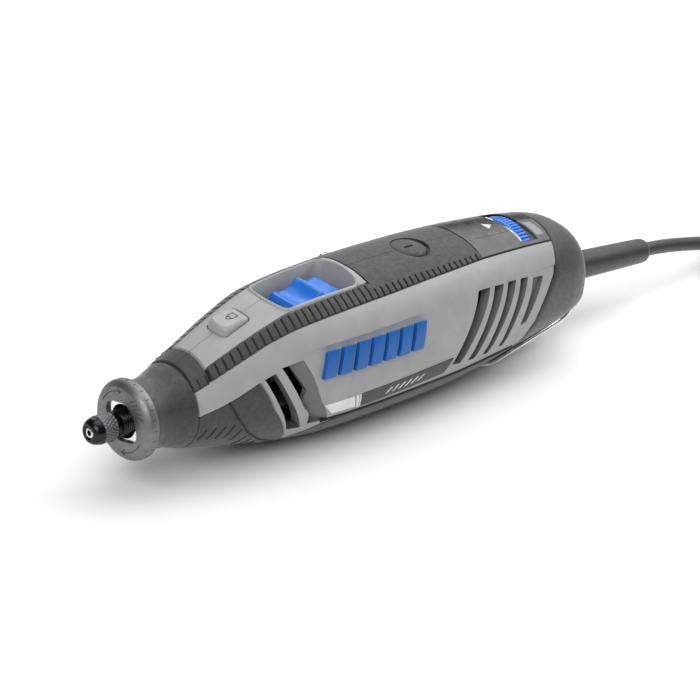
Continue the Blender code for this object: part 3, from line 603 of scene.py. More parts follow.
def studio():
    """White floor, a weak white sky and four softboxes. Only the standard transform keeps the floor white."""
    bpy.context.scene.view_settings.view_transform = "Standard"
    world = bpy.data.worlds.new("studio")
    world.use_nodes = True
    background = world.node_tree.nodes["Background"]
    background.inputs["Color"].default_value = (1, 1, 1, 1)
    background.inputs["Strength"].default_value = 0.12
    bpy.context.scene.world = world
    area_light("back", (0.80, 0.85, 0.80), (1.6, 0.7), 9)
    area_light("over", (0.1, 0.1, 1.3), (1.0, 1.0), 8)
    area_light("front", (-0.9, -0.5, 0.9), (0.8, 0.6), 10)
    area_light("rear", (0.9, -0.3, 0.9), (0.8, 0.6), 7)
    shape = bmesh.new()
    bmesh.ops.create_grid(shape, x_segments=2, y_segments=2, size=FLOOR_REACH)
    mesh = bpy.data.meshes.new("floor")
    shape.to_mesh(mesh)
    shape.free()
    floor = new_object("floor", mesh)
    made, _, shader = shader_of("floor", (0.93, 0.93, 0.93), 0.9)
    shader.inputs["Specular IOR Level"].default_value = 0.1
    mesh.materials.append(made)


# Lead

CORD_DIAMETER = 5.5
RELIEF_START = Vector((219.6, 0.0, 0.9))
RELIEF_LENGTH = 63.6
RELIEF_DROOP = radians(5.0)
RELIEF_DIRECTION = Vector((cos(RELIEF_DROOP), 0, -sin(RELIEF_DROOP)))
COIL_CENTRE = Vector((386.0, -20.0))
COIL_INNER, COIL_OUTER = 25.6, 38.8
COIL_LAYERS = 4
LAYER_RISE = 5.6
COIL_START = 125.0
COIL_TURN = 3215.0
PLUG_OFFSET = (24.0, 11.7)
PLUG_THICKNESS = 13.7
PLUG_CORNERS = 32
CLIMB = 50.0
COIL_STEP = 12


def plug_height():
    """Height of the plug's middle, as the CAD has it."""
    low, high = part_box("plug_body")
    return ((low[2] + high[2]) / 2 - AXIS) / MM


def smooth_path(points, step):
    """Points about a step apart on a Catmull-Rom curve."""
    points = [Vector(point) for point in points]
    padded = [points[0] * 2 - points[1], *points, points[-1] * 2 - points[-2]]
    made = []
    for before, start, end, after in zip(padded, padded[1:], padded[2:], padded[3:]):
        count = max(int(round((end - start).length / step)), 1)
        for n in range(count):
            t = n / count
            made.append(
                0.5 * (2 * start + (end - before) * t + (2 * before - 5 * start + 4 * end - after) * t**2
                       + (3 * start - before - 3 * end + after) * t**3)
            )
    return made + [points[-1]]


def coil_path():
    """The wound part, clockwise from above: layers that spiral in and out by turns, each on the last."""
    per_layer = COIL_TURN / COIL_LAYERS
    count = int(COIL_TURN / COIL_STEP)
    path = []
    for n in range(count + 1):
        turned = COIL_TURN * n / count
        layer = min(int(turned / per_layer), COIL_LAYERS - 1)
        within = turned - layer * per_layer
        # The radius rests while the lead climbs on to the next layer.
        inward = min(max((within - CLIMB / 2) / (per_layer - CLIMB), 0), 1)
        reach = COIL_OUTER - (COIL_OUTER - COIL_INNER) * (inward if layer % 2 == 0 else 1 - inward)
        level = layer - 1 + ease(0.5 + within / CLIMB) if within < CLIMB / 2 and layer else layer
        if per_layer - within < CLIMB / 2 and layer < COIL_LAYERS - 1:
            level = layer + ease(0.5 - (per_layer - within) / CLIMB)
        angle = radians(COIL_START - turned)
        height = FLOOR + CORD_DIAMETER / 2 + 0.05 + LAYER_RISE * level
        place = COIL_CENTRE + reach * Vector((cos(angle), sin(angle)))
        path.append(Vector((*place, height)))
    return path


def lead():
    """The mains lead: out of the relief, down to the floor, into the coil and up to the plug."""
    end = RELIEF_START + RELIEF_DIRECTION * (RELIEF_LENGTH + GAP)
    wound = coil_path()
    route = [
        end, (291, 0, -5.5), (300, 0, -6.8), (311, 0, -8.9), (322, 0, -11.2), (330, 0.3, -13.3),
        (338, 1.6, -16.3), (345, 3.5, -18.9), (352, 6.1, -21.2), (358, 9.2, -22.6), wound[0],
    ]
    centre = COIL_CENTRE
    top = plug_height()
    last = wound[-1].z
    rising = [
        (centre.x - 24.5, centre.y + 29.0, last + 1.6), (centre.x - 13, centre.y + 35.0, last + 4.4),
        (centre.x, centre.y + 35.9, last + 6.6), (centre.x + 11.6, centre.y + 32.6, last + 8.8),
        (centre.x + 20.4, centre.y + 24.0, top - 0.4), (centre.x + 23.6, centre.y + 16, top),
        (centre.x + PLUG_OFFSET[0], centre.y + PLUG_OFFSET[1] + 0.4, top),
    ]
    path = smooth_path(route, 5)[:-1] + wound + smooth_path([wound[-1], *rising], 5)[1:]
    curve = bpy.data.curves.new("lead", "CURVE")
    curve.dimensions = "3D"
    curve.bevel_depth = CORD_DIAMETER / 2 * MM
    curve.bevel_resolution = 4
    curve.use_fill_caps = True
    spline = curve.splines.new("POLY")
    spline.points.add(len(path) - 1)
    for point, place in zip(spline.points, path):
        point.co = (*to_row(*place), 1)
    spline.use_smooth = True
    made = new_object("lead", curve)
    curve.materials.append(FINISH["cord"])
    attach(made, "housing")
    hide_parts("cord", "cord_coil")
    return made, to_row(*end)


def plug():
    """A flat moulded plug with a ribbed waist."""
    centre = COIL_CENTRE + Vector(PLUG_OFFSET)
    height = plug_height()
    half = PLUG_THICKNESS / 2
    stations = [
        (0, 5.2, 4.6), (2, 5.6, 5.0), (2.6, 5.0, 4.4), (4.2, 5.6, 5.0), (4.8, 5.0, 4.4), (6.4, 6.2, 5.4),
        (9, 8.4, 6.2), (13, 9.4, half), (17, 10.6, half), (20.5, 15.0, half), (23, 17.2, half),
        (27.5, 17.4, half), (31, 15.6, half), (33.4, 13.4, half - 0.5), (34, 12.6, half - 1.2),
    ]
    shape = bmesh.new()
    rings = []
    for back, wide, thick in stations:
        ring = []
        for turn in np.arange(PLUG_CORNERS) * tau / PLUG_CORNERS:
            across = wide * copysign(abs(cos(turn)) ** 0.5, cos(turn))
            up = thick * copysign(abs(sin(turn)) ** 0.5, sin(turn))
            ring.append((centre.x + across, centre.y - back, height + up))
        rings.append(ring)
    add_rings(shape, rings)
    body = piece("plug", shape, "cord", replaces=["plug_body"], angle=50)
    pins = []
    for word, across in (("a", -9.3), ("b", 9.3)):
        for part, profile, finish in (
            ("pin", [(-34.2, 0), (-34.2, 2.0), (-51.5, 2.0), (-52.8, 1.5), (-53.3, 0)], "steel"),
            ("sleeve", [(-34.1, 0), (-34.1, 2.02), (-43.0, 2.02), (-43.0, 0)], "cord"),
        ):
            shape = bmesh.new()
            add_turned(shape, profile, (centre.x + across, centre.y, height), "Y", 24)
            stands = ["plug_pin_" + word] if part == "pin" else []
            pins.append(piece(f"plug_{part}_{word}", shape, finish, replaces=stands))
    return [body, *pins]


def strain_relief():
    """The flexible sleeve: a flange inside the cap, then a smooth taper to a rounded end."""
    profile = [(0, 0), (0, 7.0), (2.4, 7.0), (2.6, 5.75)]
    profile += [(x, 5.75 - 0.0155 * (x - 4)) for x in range(4, 60, 4)]
    profile += [(60.4, 4.86), (61.6, 4.75), (62.5, 4.4), (63.1, 3.9), (63.5, 3.2), (63.6, 0)]
    shape = bmesh.new()
    add_turned(shape, profile, (0, 0, 0), "X", 48)
    turn = Matrix.Rotation(RELIEF_DROOP, 4, "Y")
    move = Matrix.Translation(to_row(*RELIEF_START)) @ turn @ Matrix.Translation(-to_row(0, 0, 0))
    bmesh.ops.transform(shape, matrix=move, verts=shape.verts)
    piece("relief_sleeve", shape, "cord", replaces=["strain_relief"], angle=40)


# Shells and grips


def well_outline(grow=0.0, steps=6):
    """The switch well's opening, bowed at both ends, as (x, y) at about steps millimetres apart."""
    half = [
        (71.4, 0), (71.6, 3.0), (72.4, 6.2), (73.3, 8.0), (74.6, 8.9), (89, 9.5), (103.6, 9.9), (105.2, 9.1),
        (106.2, 6.4), (106.8, 3.0), (107.0, 0),
    ]
    rounded = [(point.x, point.y) for point in smooth_path([(x, y, 0) for x, y in half], steps)]
    outline = rounded + [(x, -y) for x, y in reversed(rounded[1:-1])]
    grown = []
    for n, (x, y) in enumerate(outline):
        before, after = Vector(outline[n - 1]), Vector(outline[(n + 1) % len(outline)])
        along = (after - before).normalized()
        grown.append((x - along.y * grow, y + along.x * grow))
    return grown


def top_at(x, across):
    """Height of the skin over a place on the upper half."""
    height, width, _ = profile_at(x)
    power = 2 + 0.4 * ease((x - STATIONS[0]) / ROUND_NOSE)
    return height * (1 - min(abs(across) / width, 1) ** power) ** (1 / power)


def side_at(x, z):
    """Half width of the skin at a height over the spindle axis."""
    height, width, _ = profile_at(x)
    return width * (1 - min(z / height, 1) ** 2.4) ** (1 / 2.4)


# Slanted vents in each flank, as (x, z) of the upper front, upper rear, lower rear and lower front corners
REAR_VENTS = [
    [(156.9, 19.9), (163.4, 19.5), (148.2, -4.6), (143.6, -3.8)],
    [(165.8, 19.3), (170.8, 18.9), (156.0, -5.2), (152.6, -4.8)],
    [(173.3, 18.9), (177.9, 18.5), (163.6, -5.4), (160.8, -5.0)],
    [(180.6, 18.3), (184.8, 17.8), (171.8, -4.6), (169.4, -4.2)],
]
REAR_SCOOP_DEPTH = 1.7
REAR_SCOOP = [(187.6, 16.9), (193.6, 16.1), (183.6, 1.6), (180.2, 1.2)]
FRONT_VENTS = [
    [(57.8, 11.6), (61.8, 13.0), (76.0, -11.0), (70.2, -10.4)],
    [(64.4, 14.4), (67.7, 14.8), (75.2, 4.0), (74.4, -2.5)],
]
# The hollow behind the second front vent: its front edge as (angle, x), and (part of its width, depth)
FRONT_SCOOP = [(62, 65.0), (85, 70.7), (94, 73.8), (105, 76.9), (116, 78.0)]
FRONT_SCOOP_RAMP = [(0, 3.3), (0.4, 1.8), (0.8, 0.45), (1, -0.3)]
LOCK_X = 56.0
DIAL_HEIGHT = 12.4
# Screws of the right half, as x, z and how far out the skin is there
SCREWS = [(78, -13.0, 18.0), (131, -13.0, 20.8), (118, 24.0, 18.6), (178, -12.0, 18.8)]
BRUSH_X = 140.5


def openings():
    """The solids that cut the openings, by name."""
    beyond = 45

    def well(shape):
        add_prism(shape, well_outline(1.2), 20.9, 44)

    def button(shape):
        add_prism(shape, [(55.9 + (x - 55.9) * 1.05, y * 1.08) for x, y in lock_outline()], 12, 40)

    def caps(shape):
        for face in (20, -20):
            profile = [(face, 0), (face, 7.25), (2 * face, 7.25), (2 * face, 0)]
            add_turned(shape, profile, (141.0, -0.35, 0), "Z", 48)

    def dial(shape):
        profile = [(189.2, 0), (189.2, 17.3), (198.4, 17.3), (198.4, 0)]
        add_turned(shape, profile, (0, 0, DIAL_HEIGHT), "X", 96)

    def vents(shape):
        for corners in REAR_VENTS + FRONT_VENTS:
            add_rings(shape, [[(x, y, z) for x, z in corners] for y in (-beyond, beyond)])

    def scoops(shape):
        rows = range(62, 117, 6)
        for side, _ in SIDES:
            floor = [(x, side * (side_at(x, z) - REAR_SCOOP_DEPTH), z) for x, z in REAR_SCOOP]
            add_rings(shape, [floor, [(x, side * beyond, z) for x, z in REAR_SCOOP]])
        for side, _ in SIDES:
            skins = [{}, {}]
            for k, angle in enumerate(rows):
                front, rear = line_at(FRONT_SCOOP, angle), 71.1 + 0.265 * (angle - 53)
                for i, (part, deep) in enumerate(FRONT_SCOOP_RAMP):
                    x = front + part * (rear - front)
                    for skin, depth in zip(skins, (-2, chine(x, angle) + deep)):
                        skin[i, k] = shape.verts.new(to_row(*body_point(x, angle, depth, side)))
            add_walls(shape, cells_of(len(FRONT_SCOOP_RAMP) - 1, len(rows) - 1), skins)

    def screws(shape):
        for x, z, face in SCREWS:
            profile = [(5, 0), (5, 1.7), (face - 1.9, 1.7), (face - 1.9, 3.3), (beyond, 3.3), (beyond, 0)]
            add_turned(shape, profile, (x, 0, z), "Y", 32)

    builders = (well, button, caps, dial, vents, scoops, screws)
    # The vents' and scoops' cut walls take the darker grey: painted shade inside the openings.
    cut_shades = {vents: "cut_wall_shade", scoops: "cut_wall_shade"}
    return {build.__name__: cutter(build.__name__, build, cut_shades.get(build)) for build in builders}


def shells(cuts):
    """The hard halves, each with its recesses for the soft parts."""
    for side, word in SIDES:
        shape = bmesh.new()
        add_skin(
            shape, lambda s, t: True,
            lambda s, t, x, angle: SKIN + GAP if under_grip(s, t) else chine(x, angle), WALL, side,
        )
        names = ["well", "button", "caps", "dial", "vents", "scoops"] + (["screws"] if side == 1 else [])
        piece(
            "shell_" + word, shape, "grey", replaces=["housing_" + word],
            bevel=0.3, cutters=[cuts[name] for name in names], angle=40,
        )


RIB_PITCH = 2.9
RIB_WIDTH = 2.25
WELL_END = 109


def across_band(part):
    """The section angle at a part of the way over the ribbed band, as a function of x."""
    def angle_at(x):
        low, high = line_at(BAND_INNER, x) + 0.5, line_at(BAND_OUTER, x) - 0.5
        return low + part * (high - low)

    return angle_at


def grips(cuts):
    """Nose band, ribbed bands and rear top: a floor sheet with raised blocks and smooth pads on it."""
    for side, word in SIDES:
        shape = bmesh.new()
        add_skin(
            shape, lambda s, t: (s < 1 and t < 3) or (2 <= t < 3 and 1 <= s < 7) or (6 <= s < 7 and t < 3),
            1.0, SKIN, side,
        )
        # The floor sheet is near black, darker than the ribs' rubber: painted shade in the gaps between ribs
        # and pads.
        piece(
            "grip_floor_" + word, shape, "rubber_gap_shade", replaces=["grip_" + word],
            cutters=[cuts["caps"]],
        )
        pads = bmesh.new()
        add_skin(pads, lambda s, t: (s < 1 and t < 3) or (6 <= s < 7 and t < 2.4), 0.0, 0.85, side)
        piece(
            "grip_pads_" + word, pads, "rubber", bevel=0.3, cutters=[cuts["caps"]],
            angle=40,
        )
        ribs = bmesh.new()
        for start in np.arange(41.0, 162.8, RIB_PITCH):
            low, width = (0.0, RIB_WIDTH) if start < WELL_END else (0.3, RIB_WIDTH - 0.15)
            angles = [across_band(part) for part in np.linspace(low, 1, 5)]
            add_patch(ribs, [start, start + width / 2, start + width], angles, 0.0, 1.1, side)
        piece("grip_ribs_" + word, ribs, "rubber", bevel=0.22, angle=50)


def keels():
    """Soft cheek at the front and the keel along the belly, with black seam lines and black beads that paint
    the shade of the moulded grooves.
    """
    edge = [(x, line_at(KEEL, x) - 1.2) for x in np.arange(84, 182, 3)]
    for side, word in SIDES:
        shape = bmesh.new()
        add_skin(shape, lambda s, t: (s < 3 and t >= 6) or (s >= 3 and t >= 8), 0.0, SKIN, side)
        piece("keel_" + word, shape, "rubber", replaces=["keel_grip_" + word], bevel=0.3)
        lines = bmesh.new()
        add_tube(lines, on_skin(CHEEK_SEAM, 0.15, side), 0.5)
        add_tube(lines, on_skin(edge, 0.3, side), 0.8)
        # Black beads on the skin, not cuts: painted shade for the moulded grooves.
        for start in np.arange(35.6, 60, 3.4):
            top = max(100, np.interp(start + 2, [48, 50.8, 54.4, 62.3], [90, 101, 115, 132]) + 5)
            add_tube(lines, on_skin([(start + 2.0, top), (start, top + 18)], 0.2, side), 0.42)
        for x in (36.4, 39.2):
            add_tube(lines, on_skin([(x, 36), (x, 47.5)], 0.1, side), 0.3)
        piece("keel_seams_and_groove_shade_" + word, lines, "seam")


def well_rim():
    """The well's own wall, with a bead that stands over the shell."""
    shape = bmesh.new()
    rings = []
    for grow, rise in ((0.0, None), (0.0, 0.15), (0.35, 0.5), (0.8, 0.5), (1.1, 0.15), (1.1, None)):
        ring = []
        for x, y in well_outline(grow, 2.5):
            ring.append((x, y, 21.3 if rise is None else top_at(x, y) + rise))
        rings.append(ring)
    add_rings(shape, rings, closed=True)
    piece("well_rim", shape, "grey", angle=60)


def slider():
    """The thumb slider: dished front pad, sharp ridge, rear step. A station is x, top and half width."""
    stations = [
        (79.5, 24.6, 4.9), (79.7, 25.8, 5.3), (80.4, 27.0, 5.8), (81.6, 27.1, 6.1), (83, 26.5, 6.25),
        (85, 26.1, 6.3), (87, 26.2, 6.4), (89, 26.7, 6.5), (90.4, 27.7, 6.6), (91.6, 28.8, 6.7),
        (92.6, 29.2, 6.75), (93.3, 29.1, 6.75), (93.9, 28.2, 6.7), (94.5, 27.2, 6.6), (96, 27.0, 6.5),
        (98, 27.3, 6.4), (100, 27.8, 6.2), (101.2, 27.8, 6.1), (102.0, 27.2, 5.9), (102.4, 26.0, 5.6),
    ]
    shape = bmesh.new()
    rings = []
    for x, top, half in stations:
        dish = 0.5 * ease((x - 80) / 4) * (1 - ease((x - 90) / 3))
        section = [
            (-half - 0.1, 21.4), (-half - 0.1, top - 2.2), (-half, top - 1.0), (-half + 0.35, top - 0.35),
            (-half + 1.0, top),
        ]
        middle = [(half * part, top - dish * (1 - part * part)) for part in (-0.6, -0.3, 0, 0.3, 0.6)]
        section += middle + [(-y, z) for y, z in reversed(section)]
        rings.append([(x, y, z) for y, z in section])
    add_rings(shape, rings)
    piece("thumb_slider", shape, "blue", "slider", ["slide_button"], angle=38)


def lock_top(x):
    """Height of the lock button's sloping top."""
    return 25.4 + (x - 50) * 0.158


def lock_outline():
    """The lock button from above, as (x, y)."""
    half = [
        (50.15, 0), (50.25, 1.6), (50.7, 3.2), (51.3, 4.1), (52.1, 4.5), (58, 4.55), (60.7, 4.4), (61.5, 3.9),
        (61.75, 3.0), (61.8, 0),
    ]
    return half + [(x, -y) for x, y in reversed(half[1:-1])]


def lock_button():
    """The sprung button that locks the spindle, bowed in front and chamfered, with a plain padlock sign."""
    outline = lock_outline()
    middle = Vector((56.2, 0))
    shape = bmesh.new()
    rings = []
    for drop, shrink in ((None, 1.0), (1.5, 1.0), (1.0, 0.985), (0.35, 0.91), (0.0, 0.82)):
        ring = []
        for point in outline:
            place = middle + (Vector(point) - middle) * shrink
            ring.append((*place, 18.4 if drop is None else lock_top(place.x) - drop))
        rings.append(ring)
    add_rings(shape, rings)
    piece("lock_key", shape, "grey", "lock", ["lock_button"], angle=24)
    sign = bmesh.new()
    body = [(56.6, -1.3), (59.0, -1.3), (59.0, 1.3), (56.6, 1.3)]
    shackle = [(56.6 - 1.5 * sin(a), -0.85 * cos(a)) for a in np.linspace(0, pi, 9)]
    for path, closed in ((body, True), (shackle, False)):
        add_tube(sign, [to_row(x, y, lock_top(x) + 0.02) for x, y in path], 0.17, 6, closed)
    piece("lock_sign", sign, "dark", "lock")


def lock_spring():
    """The coil under the lock button, at one length: it is not made to shorten as the button goes down."""
    low, high, coils, radius = 7.4, 17.7, 4.5, 2.6
    points = []
    for part in np.linspace(0, 1, 91):
        turn = tau * coils * part
        x, y = LOCK_X + radius * cos(turn), radius * sin(turn)
        points.append(to_row(x, y, low + (high - low) * part))
    shape = bmesh.new()
    add_tube(shape, points, 0.35)
    spring = piece("coil_spring", shape, "steel", "lock", ["lock_spring"])
    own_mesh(spring)


KNURL_START, KNURL_END = 3.4, 8.7
RING_FACE = 13.5


def collet_nut():
    """The collet nut with its crossed knurl, the collet's face and the spindle's thread."""
    def knurl(n, angle):
        x = nut[n][0]
        if not KNURL_START < x < KNURL_END - 0.1:
            return 0.0
        lines = [abs(sin(13 * angle + sign * 1.5 * x)) for sign in (-1, 1)]
        return 0.3 * min(lines) - 0.22

    nut = [(0.5, 1.85), (0.0, 2.2), (0.05, 2.9), (0.45, 3.55), (1.1, 4.05), (2.0, 4.4)]
    nut += [(2.9, 4.55), (3.3, 4.6)]
    nut += [(x, 4.72) for x in np.arange(KNURL_START, KNURL_END, 0.22)]
    nut += [(8.8, 4.35), (9.3, 4.2), (10.9, 4.2), (11.0, 4.1), (11.0, 3.7)]
    nut += [(5.5, 3.7), (5.5, 3.0), (1.3, 3.0), (1.3, 1.85)]
    shape = bmesh.new()
    add_turned(shape, nut, steps=208, ripple=knurl)
    face = bmesh.new()
    add_turned(face, [(0.3, 1.0), (0.2, 1.4), (0.35, 1.7), (1.4, 1.7), (1.4, 1.0)], steps=32)
    piece("collet_face", face, "wire", "spindle")
    made = piece("knurled_nut", shape, "black_steel", "nut", ["collet_nut"], angle=70)
    made.data.materials.append(FINISH["knurl"])
    for face in made.data.polygons:
        if KNURL_START < (face.center.x - TIP) / MM < KNURL_END:
            face.material_index = 1
    shape = bmesh.new()
    thread = [(11.3, 4.02)]
    for x in np.arange(11.5, 24, 0.9):
        thread += [(x, 4.05), (x + 0.35, 4.45), (x + 0.55, 4.45)]
    add_turned(shape, thread + [(24.2, 4.02)], steps=48)
    piece("nose_thread", shape, "black_steel", "spindle", angle=20)


def on_ring(reach, angle):
    """A point on the wrench ring's face."""
    return to_row(RING_FACE, reach * cos(angle), reach * sin(angle))


def nose_cap():
    """The wrench ring with its marks, and the flared collar."""
    def notched(n, angle):
        bore = {0: 1, 1: 1, 2: 0.9, len(plate) - 1: 1}.get(n, 0)
        return bore * 1.7 * max(cos(2 * (angle - radians(25))), 0) ** 2.5

    plate = [
        (14.5, 6.4), (13.9, 6.4), (13.55, 6.7), (RING_FACE, 11.6), (13.7, 12.0), (14.5, 12.9), (15.2, 13.4),
        (16.0, 13.6), (17.7, 13.6), (18.1, 13.4), (18.4, 12.8), (18.4, 9.2), (14.5, 9.2),
    ]
    shape = bmesh.new()
    add_turned(shape, plate, steps=144, ripple=notched)
    piece("ring_nut", shape, "ring", "nose_cap", ["wrench_ring"], angle=35)
    shape = bmesh.new()
    add_turned(shape, [(14.6, 5.8), (14.6, 9.1), (18.3, 9.1), (18.3, 5.8)], steps=48)
    piece("ring_washer", shape, "wire", "nose_cap")
    marks = bmesh.new()
    for number in range(24):
        angle = radians(15 * number + 5)
        add_slab(marks, (16.4, 13.56 * cos(angle), 13.56 * sin(angle)), (1.3, 0.14, 0.34), angle)
    for start in (200, 20):
        turns = [radians(start + step) for step in range(0, 64, 4)]
        arc = [on_ring(10.3, turn) for turn in turns]
        add_tube(marks, arc, 0.16, 6)
        for reach in (9.4, 11.2):
            add_tube(marks, [on_ring(reach, turns[-3]), arc[-1]], 0.16, 6)
        for number in range(5):
            turn = radians(start + 88 + 9 * number)
            add_tube(marks, [on_ring(r, turn + 0.06 * (r - 9)) for r in (8.9, 11.3)], 0.18, 6)
    piece("ring_marks", marks, "etch", "nose_cap")

    flare = [(18.7, 12.5), (22.5, 11.85), (27.0, 12.25), (31.0, 13.55), (33.6, 14.35)]
    smooth = [(p.x, p.y) for p in smooth_path([(x, r, 0) for x, r in flare], 0.8)]
    collar = [(18.7, 6.9), (18.7, 12.1), *smooth, (34.0, 14.3), (34.0, 10.2), (26.0, 10.2), (26.0, 6.9)]
    shape = bmesh.new()
    add_turned(shape, collar, steps=112)
    piece("flared_collar", shape, "satin", "nose_cap", ["nose_collar"], angle=40)


DIAL_TEETH = 72


def dial():
    """The speed wheel, with fine teeth and a plain rim in front."""
    profile = [
        (190, 3.0), (190, 16.2), (190.5, 16.75), (191.3, 16.75), (191.6, 16.8), (195.3, 16.8), (196, 16.1),
        (196, 3.0),
    ]

    def teeth(n, angle):
        if not 4 <= n <= 6:
            return 0.0
        wave = (angle * DIAL_TEETH / tau) % 1
        return -0.5 * ease((wave - 0.5) / 0.2) * (1 - ease((wave - 0.8) / 0.2))

    shape = bmesh.new()
    add_turned(shape, profile, (0, 0, DIAL_HEIGHT), steps=DIAL_TEETH * 8, ripple=teeth)
    piece("ribbed_dial", shape, "blue", "dial", ["speed_dial"], angle=40)


def tail_end(angle):
    """Where the body ends in front of the tail cap's slanted seam."""
    return line_at(TAIL_SEAM, abs(angle)) - GAP


def in_slot(x, angle):
    """Whether the place is over the dial's slot."""
    return 189.3 < x < 198.5 and abs(angle) < 25.4


def tail_top():
    """The grey insert round the dial, and the glossy panel with the pointer."""
    places = [164.9, 170, 176, 182, 187.8, 188.1, 189.4, 193, 198.4, 200, 203, tail_end]
    angles = [-29.1, -28, -25.3, -20, -15, -10.9, -10.5, -5, 0, 4, 8, 14, 20, 25.3, 27, 29.1]

    def is_panel(x, angle):
        return angle > -10.7 and not (x > 198.4 and angle < 0)

    for name, finish, slot, node, panel in (
        ("tail_panel", "insert", "soft_grip", "tail_insert", False),
        ("dial_panel", "gloss", "gloss_window", "dial_window", True),
    ):
        shape = bmesh.new()
        add_patch(
            shape, places, angles, 0.0, SKIN, 1,
            lambda x, a, panel=panel: is_panel(x, a) != panel or in_slot(x, a),
        )
        piece(name, shape, finish, replaces=[node], bevel=0.12, angle=50)
    arrow = [(181, -3), (181, 3), (184.4, 0)]
    shape = bmesh.new()
    add_rings(shape, [[body_point(x, a, inset, 1) for x, a in arrow] for inset in (-0.06, 0.1)])
    piece("dial_pointer", shape, "white")
    shape = bmesh.new()
    add_patch(shape, [199.4, 201.5, 203.6], [-21, -15, -9, -3.5], -0.05, 0.6, 1)
    piece("dial_label", shape, "pale", bevel=0.05, angle=50)
    # A bright wire bead along the slot's front edge: a painted highlight for the reflection on the glossy
    # edge.
    highlight_bead = bmesh.new()
    add_tube(highlight_bead, on_skin([(188.9, -24), (188.9, 12)], 0.1, 1), 0.3)
    piece("dial_edge_highlight", highlight_bead, "wire")
    edge = bmesh.new()
    for side, _ in SIDES:
        add_tube(edge, on_skin([(164.5, 0.3), (164.5, 29.8)], 0.35, side), 0.3)
        add_tube(edge, on_skin([(164.5, 29.8), (204.6, 29.8)], 0.35, side), 0.22)
    piece("insert_seam", edge, "seam")


def tail_cap():
    """The smooth cap behind the slanted seam, closed by the boss that the lead comes out of."""
    angles = [*np.linspace(0, 100, 26), *np.linspace(104, 176, 19), 180]
    around = [(1, a) for a in angles] + [(-1, a) for a in reversed(angles[1:-1])]
    steps = np.linspace(0, 1, 10)
    shape = bmesh.new()

    def skin_ring(place, inset):
        made = []
        for side, angle in around:
            x, across, up = body_point(place(angle), angle, inset, side)
            made.append((x, 0.0 if angle in (0, 180) else across, up))
        return made

    def round_ring(x, radius):
        return [
            (x, side * radius * sin(radians(angle)), radius * cos(radians(angle)))
            for side, angle in around
        ]

    def between(part):
        return lambda angle: tail_end(angle) + 0.7 + part * (221 - tail_end(angle) - 0.7)

    rings = [skin_ring(between(0), 0.35)]
    rings += [skin_ring(between(0.03 + 0.97 * part), 0) for part in steps]
    rings += [skin_ring(lambda angle, x=x: x, 0) for x in (222.2, 223.4, 224.4, 225.3, 226.1, 226.8, 227.5)]
    rings += [round_ring(x, radius) for x, radius in (
        (227.9, 8.4), (228.2, 7.6), (229.0, 7.3), (233.2, 6.95), (233.8, 6.85), (234, 6.7), (234, 6.45),
        (224.6, 6.4),
    )]
    rings += [skin_ring(lambda angle: 221, 5.2)]
    rings += [skin_ring(between(part), 3.0) for part in (0.75, 0.4, 0)]
    add_rings(shape, rings, closed=True)
    piece("tail_cover", shape, "satin", replaces=["tail_cap"], angle=40)


def brush_caps():
    """Screw caps over the brushes, each with a coin slot."""
    for word, face, sign in (("top", 31.8, 1), ("bottom", -25.2, -1)):
        slot = cutter("coin_slot", lambda shape: add_slab(shape, (BRUSH_X, 0, face), (4.0, 1.0, 2.2)))
        reach = [(0, 0), (0, 5.3), (0.25, 5.9), (0.7, 6.3), (4, 6.35), (4, 3.0), (7, 3.0), (7, 0)]
        shape = bmesh.new()
        add_turned(shape, [(face - sign * down, radius) for down, radius in reach], (BRUSH_X, 0, 0), "Z", 56)
        piece("coin_cap_" + word, shape, "rubber", "cap_" + word, ["brush_cap_" + word],
              cutters=[slot], angle=35)


def hanger():
    """The bail's bright wire, from pivot to pivot."""
    half = [
        (0, 7.3, 0), (0, 8.0, 0), (0, 8.6, -0.8), (0, 8.6, -5.5), (0, 8.6, -10), (-0.9, 8.6, -13.6),
        (-3.8, 8.6, -16.2), (-10, 8.6, -18.1), (-28, 8.6, -22), (-42, 8.6, -25), (-47, 7.2, -25.3),
        (-49.6, 4.4, -25.4),
    ]
    path = half + [(x, -y, z) for x, y, z in reversed(half)]
    shape = bmesh.new()
    add_tube(shape, [to_row(231.3 + p.x, p.y, 1.0 + p.z) for p in smooth_path(path, 0.9)], 1.15, 14)
    piece("bail_wire", shape, "wire", "hanger", ["hanger_wire"], angle=50)


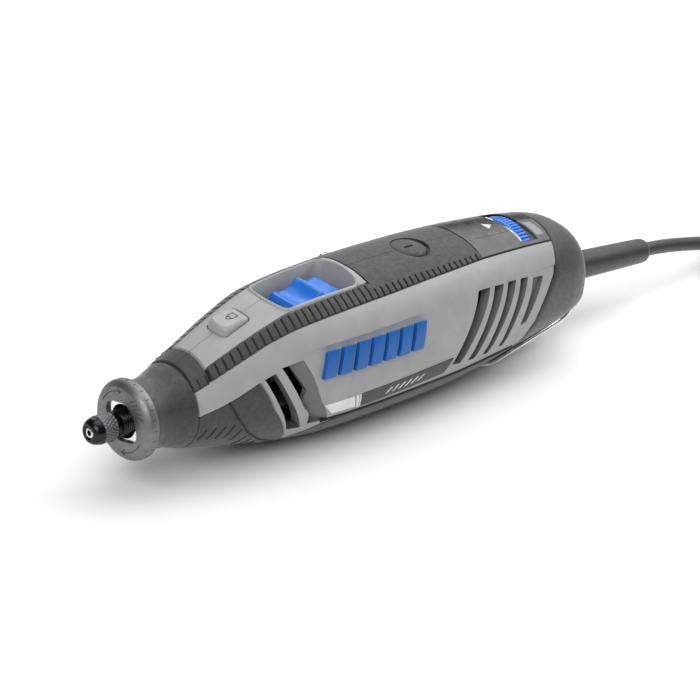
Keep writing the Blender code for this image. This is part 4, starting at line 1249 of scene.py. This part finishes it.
def add_print(shape, places, rows, inset, side, slant=0.0):
    """A printed field low on the flank. Rows are parts of the strip's height; its ends are cut aslant."""
    skins = [{}, {}]
    for i, x in enumerate(places):
        low = 98.2 - 0.1 * (x - 84)
        high = low + 14 - 2.4 * ease((100 - x) / 6)
        for k, row in enumerate(rows):
            cut = np.interp(x, [84, 100, 142], [5.2, 1.6, -3.0]) - slant * 3
            for skin, depth in zip(skins, (inset, 1.3)):
                place = body_point(x + cut * (row - 0.5), low + (high - low) * row, depth, side)
                skin[i, k] = shape.verts.new(to_row(*place))
    add_walls(shape, cells_of(len(places) - 1, len(rows) - 1), skins)


BARS = 7


def badges():
    """Raised blue bars on each flank, and the printed strip under them."""
    for side, word in SIDES:
        bars = bmesh.new()
        for number in range(BARS):
            start, width = 82.0 + 6.75 * number, 5.0
            places = [lambda a, x=x: x - 0.13 * (a - 61) for x in (start, start + width / 2, start + width)]
            add_patch(bars, places, [61.3, 65.7, 70, 74.3, 78.7], -1.05, 0.9, side)
        piece("badge_bars_" + word, bars, "badge", replaces=["badge_" + word],
              bevel=0.18, angle=50)
        rows = [0, 0.25, 0.5, 0.75, 1]
        for name, spans, finish in (
            ("plate", [(85.0, 96.6)], "white"), ("ticks", [(97.4, 98.4), (98.9, 99.3)], "white"),
            ("strip", [(99.8, 142.0)], "dark_label"),
        ):
            label = bmesh.new()
            for low, high in spans:
                count = max(int((high - low) / 2.5), 2)
                add_print(label, np.linspace(low, high, count + 1), rows, 0.0, side)
            piece(f"label_{name}_{word}", label, finish)
        ticks = bmesh.new()
        for start in np.arange(112, 130, 3.1):
            add_print(ticks, [start, start + 0.8], [0.3, 0.5, 0.7], -0.06, side, 1.6)
        piece("label_marks_" + word, ticks, "white")


# Assembly

camera()
studio()
cord, cord_exit = lead()
plug_pieces = plug()
strain_relief()

cuts = openings()
shells(cuts)
grips(cuts)
keels()
well_rim()
slider()
lock_button()
lock_spring()
collet_nut()
nose_cap()
dial()
tail_top()
tail_cap()
brush_caps()
hanger()
badges()
drop_cutters()

FROM_SLOT = {
    "grey_plastic": "grey", "soft_grip": "rubber", "dark_plastic": "dark", "gloss_window": "gloss",
    "blue_plastic": "blue", "dark_blue_plastic": "deep_blue", "ring_metal": "ring", "wire_steel": "wire",
    "laminations": "iron", "copper_wire": "copper", "cord_cover": "cord",
}
for part in frame["record"]["subparts"]:
    node = frame["nodes"][part["node"]]
    node.data.materials.clear()
    slot = part["material_slot"]
    node.data.materials.append(FINISH[FROM_SLOT.get(slot, slot)])
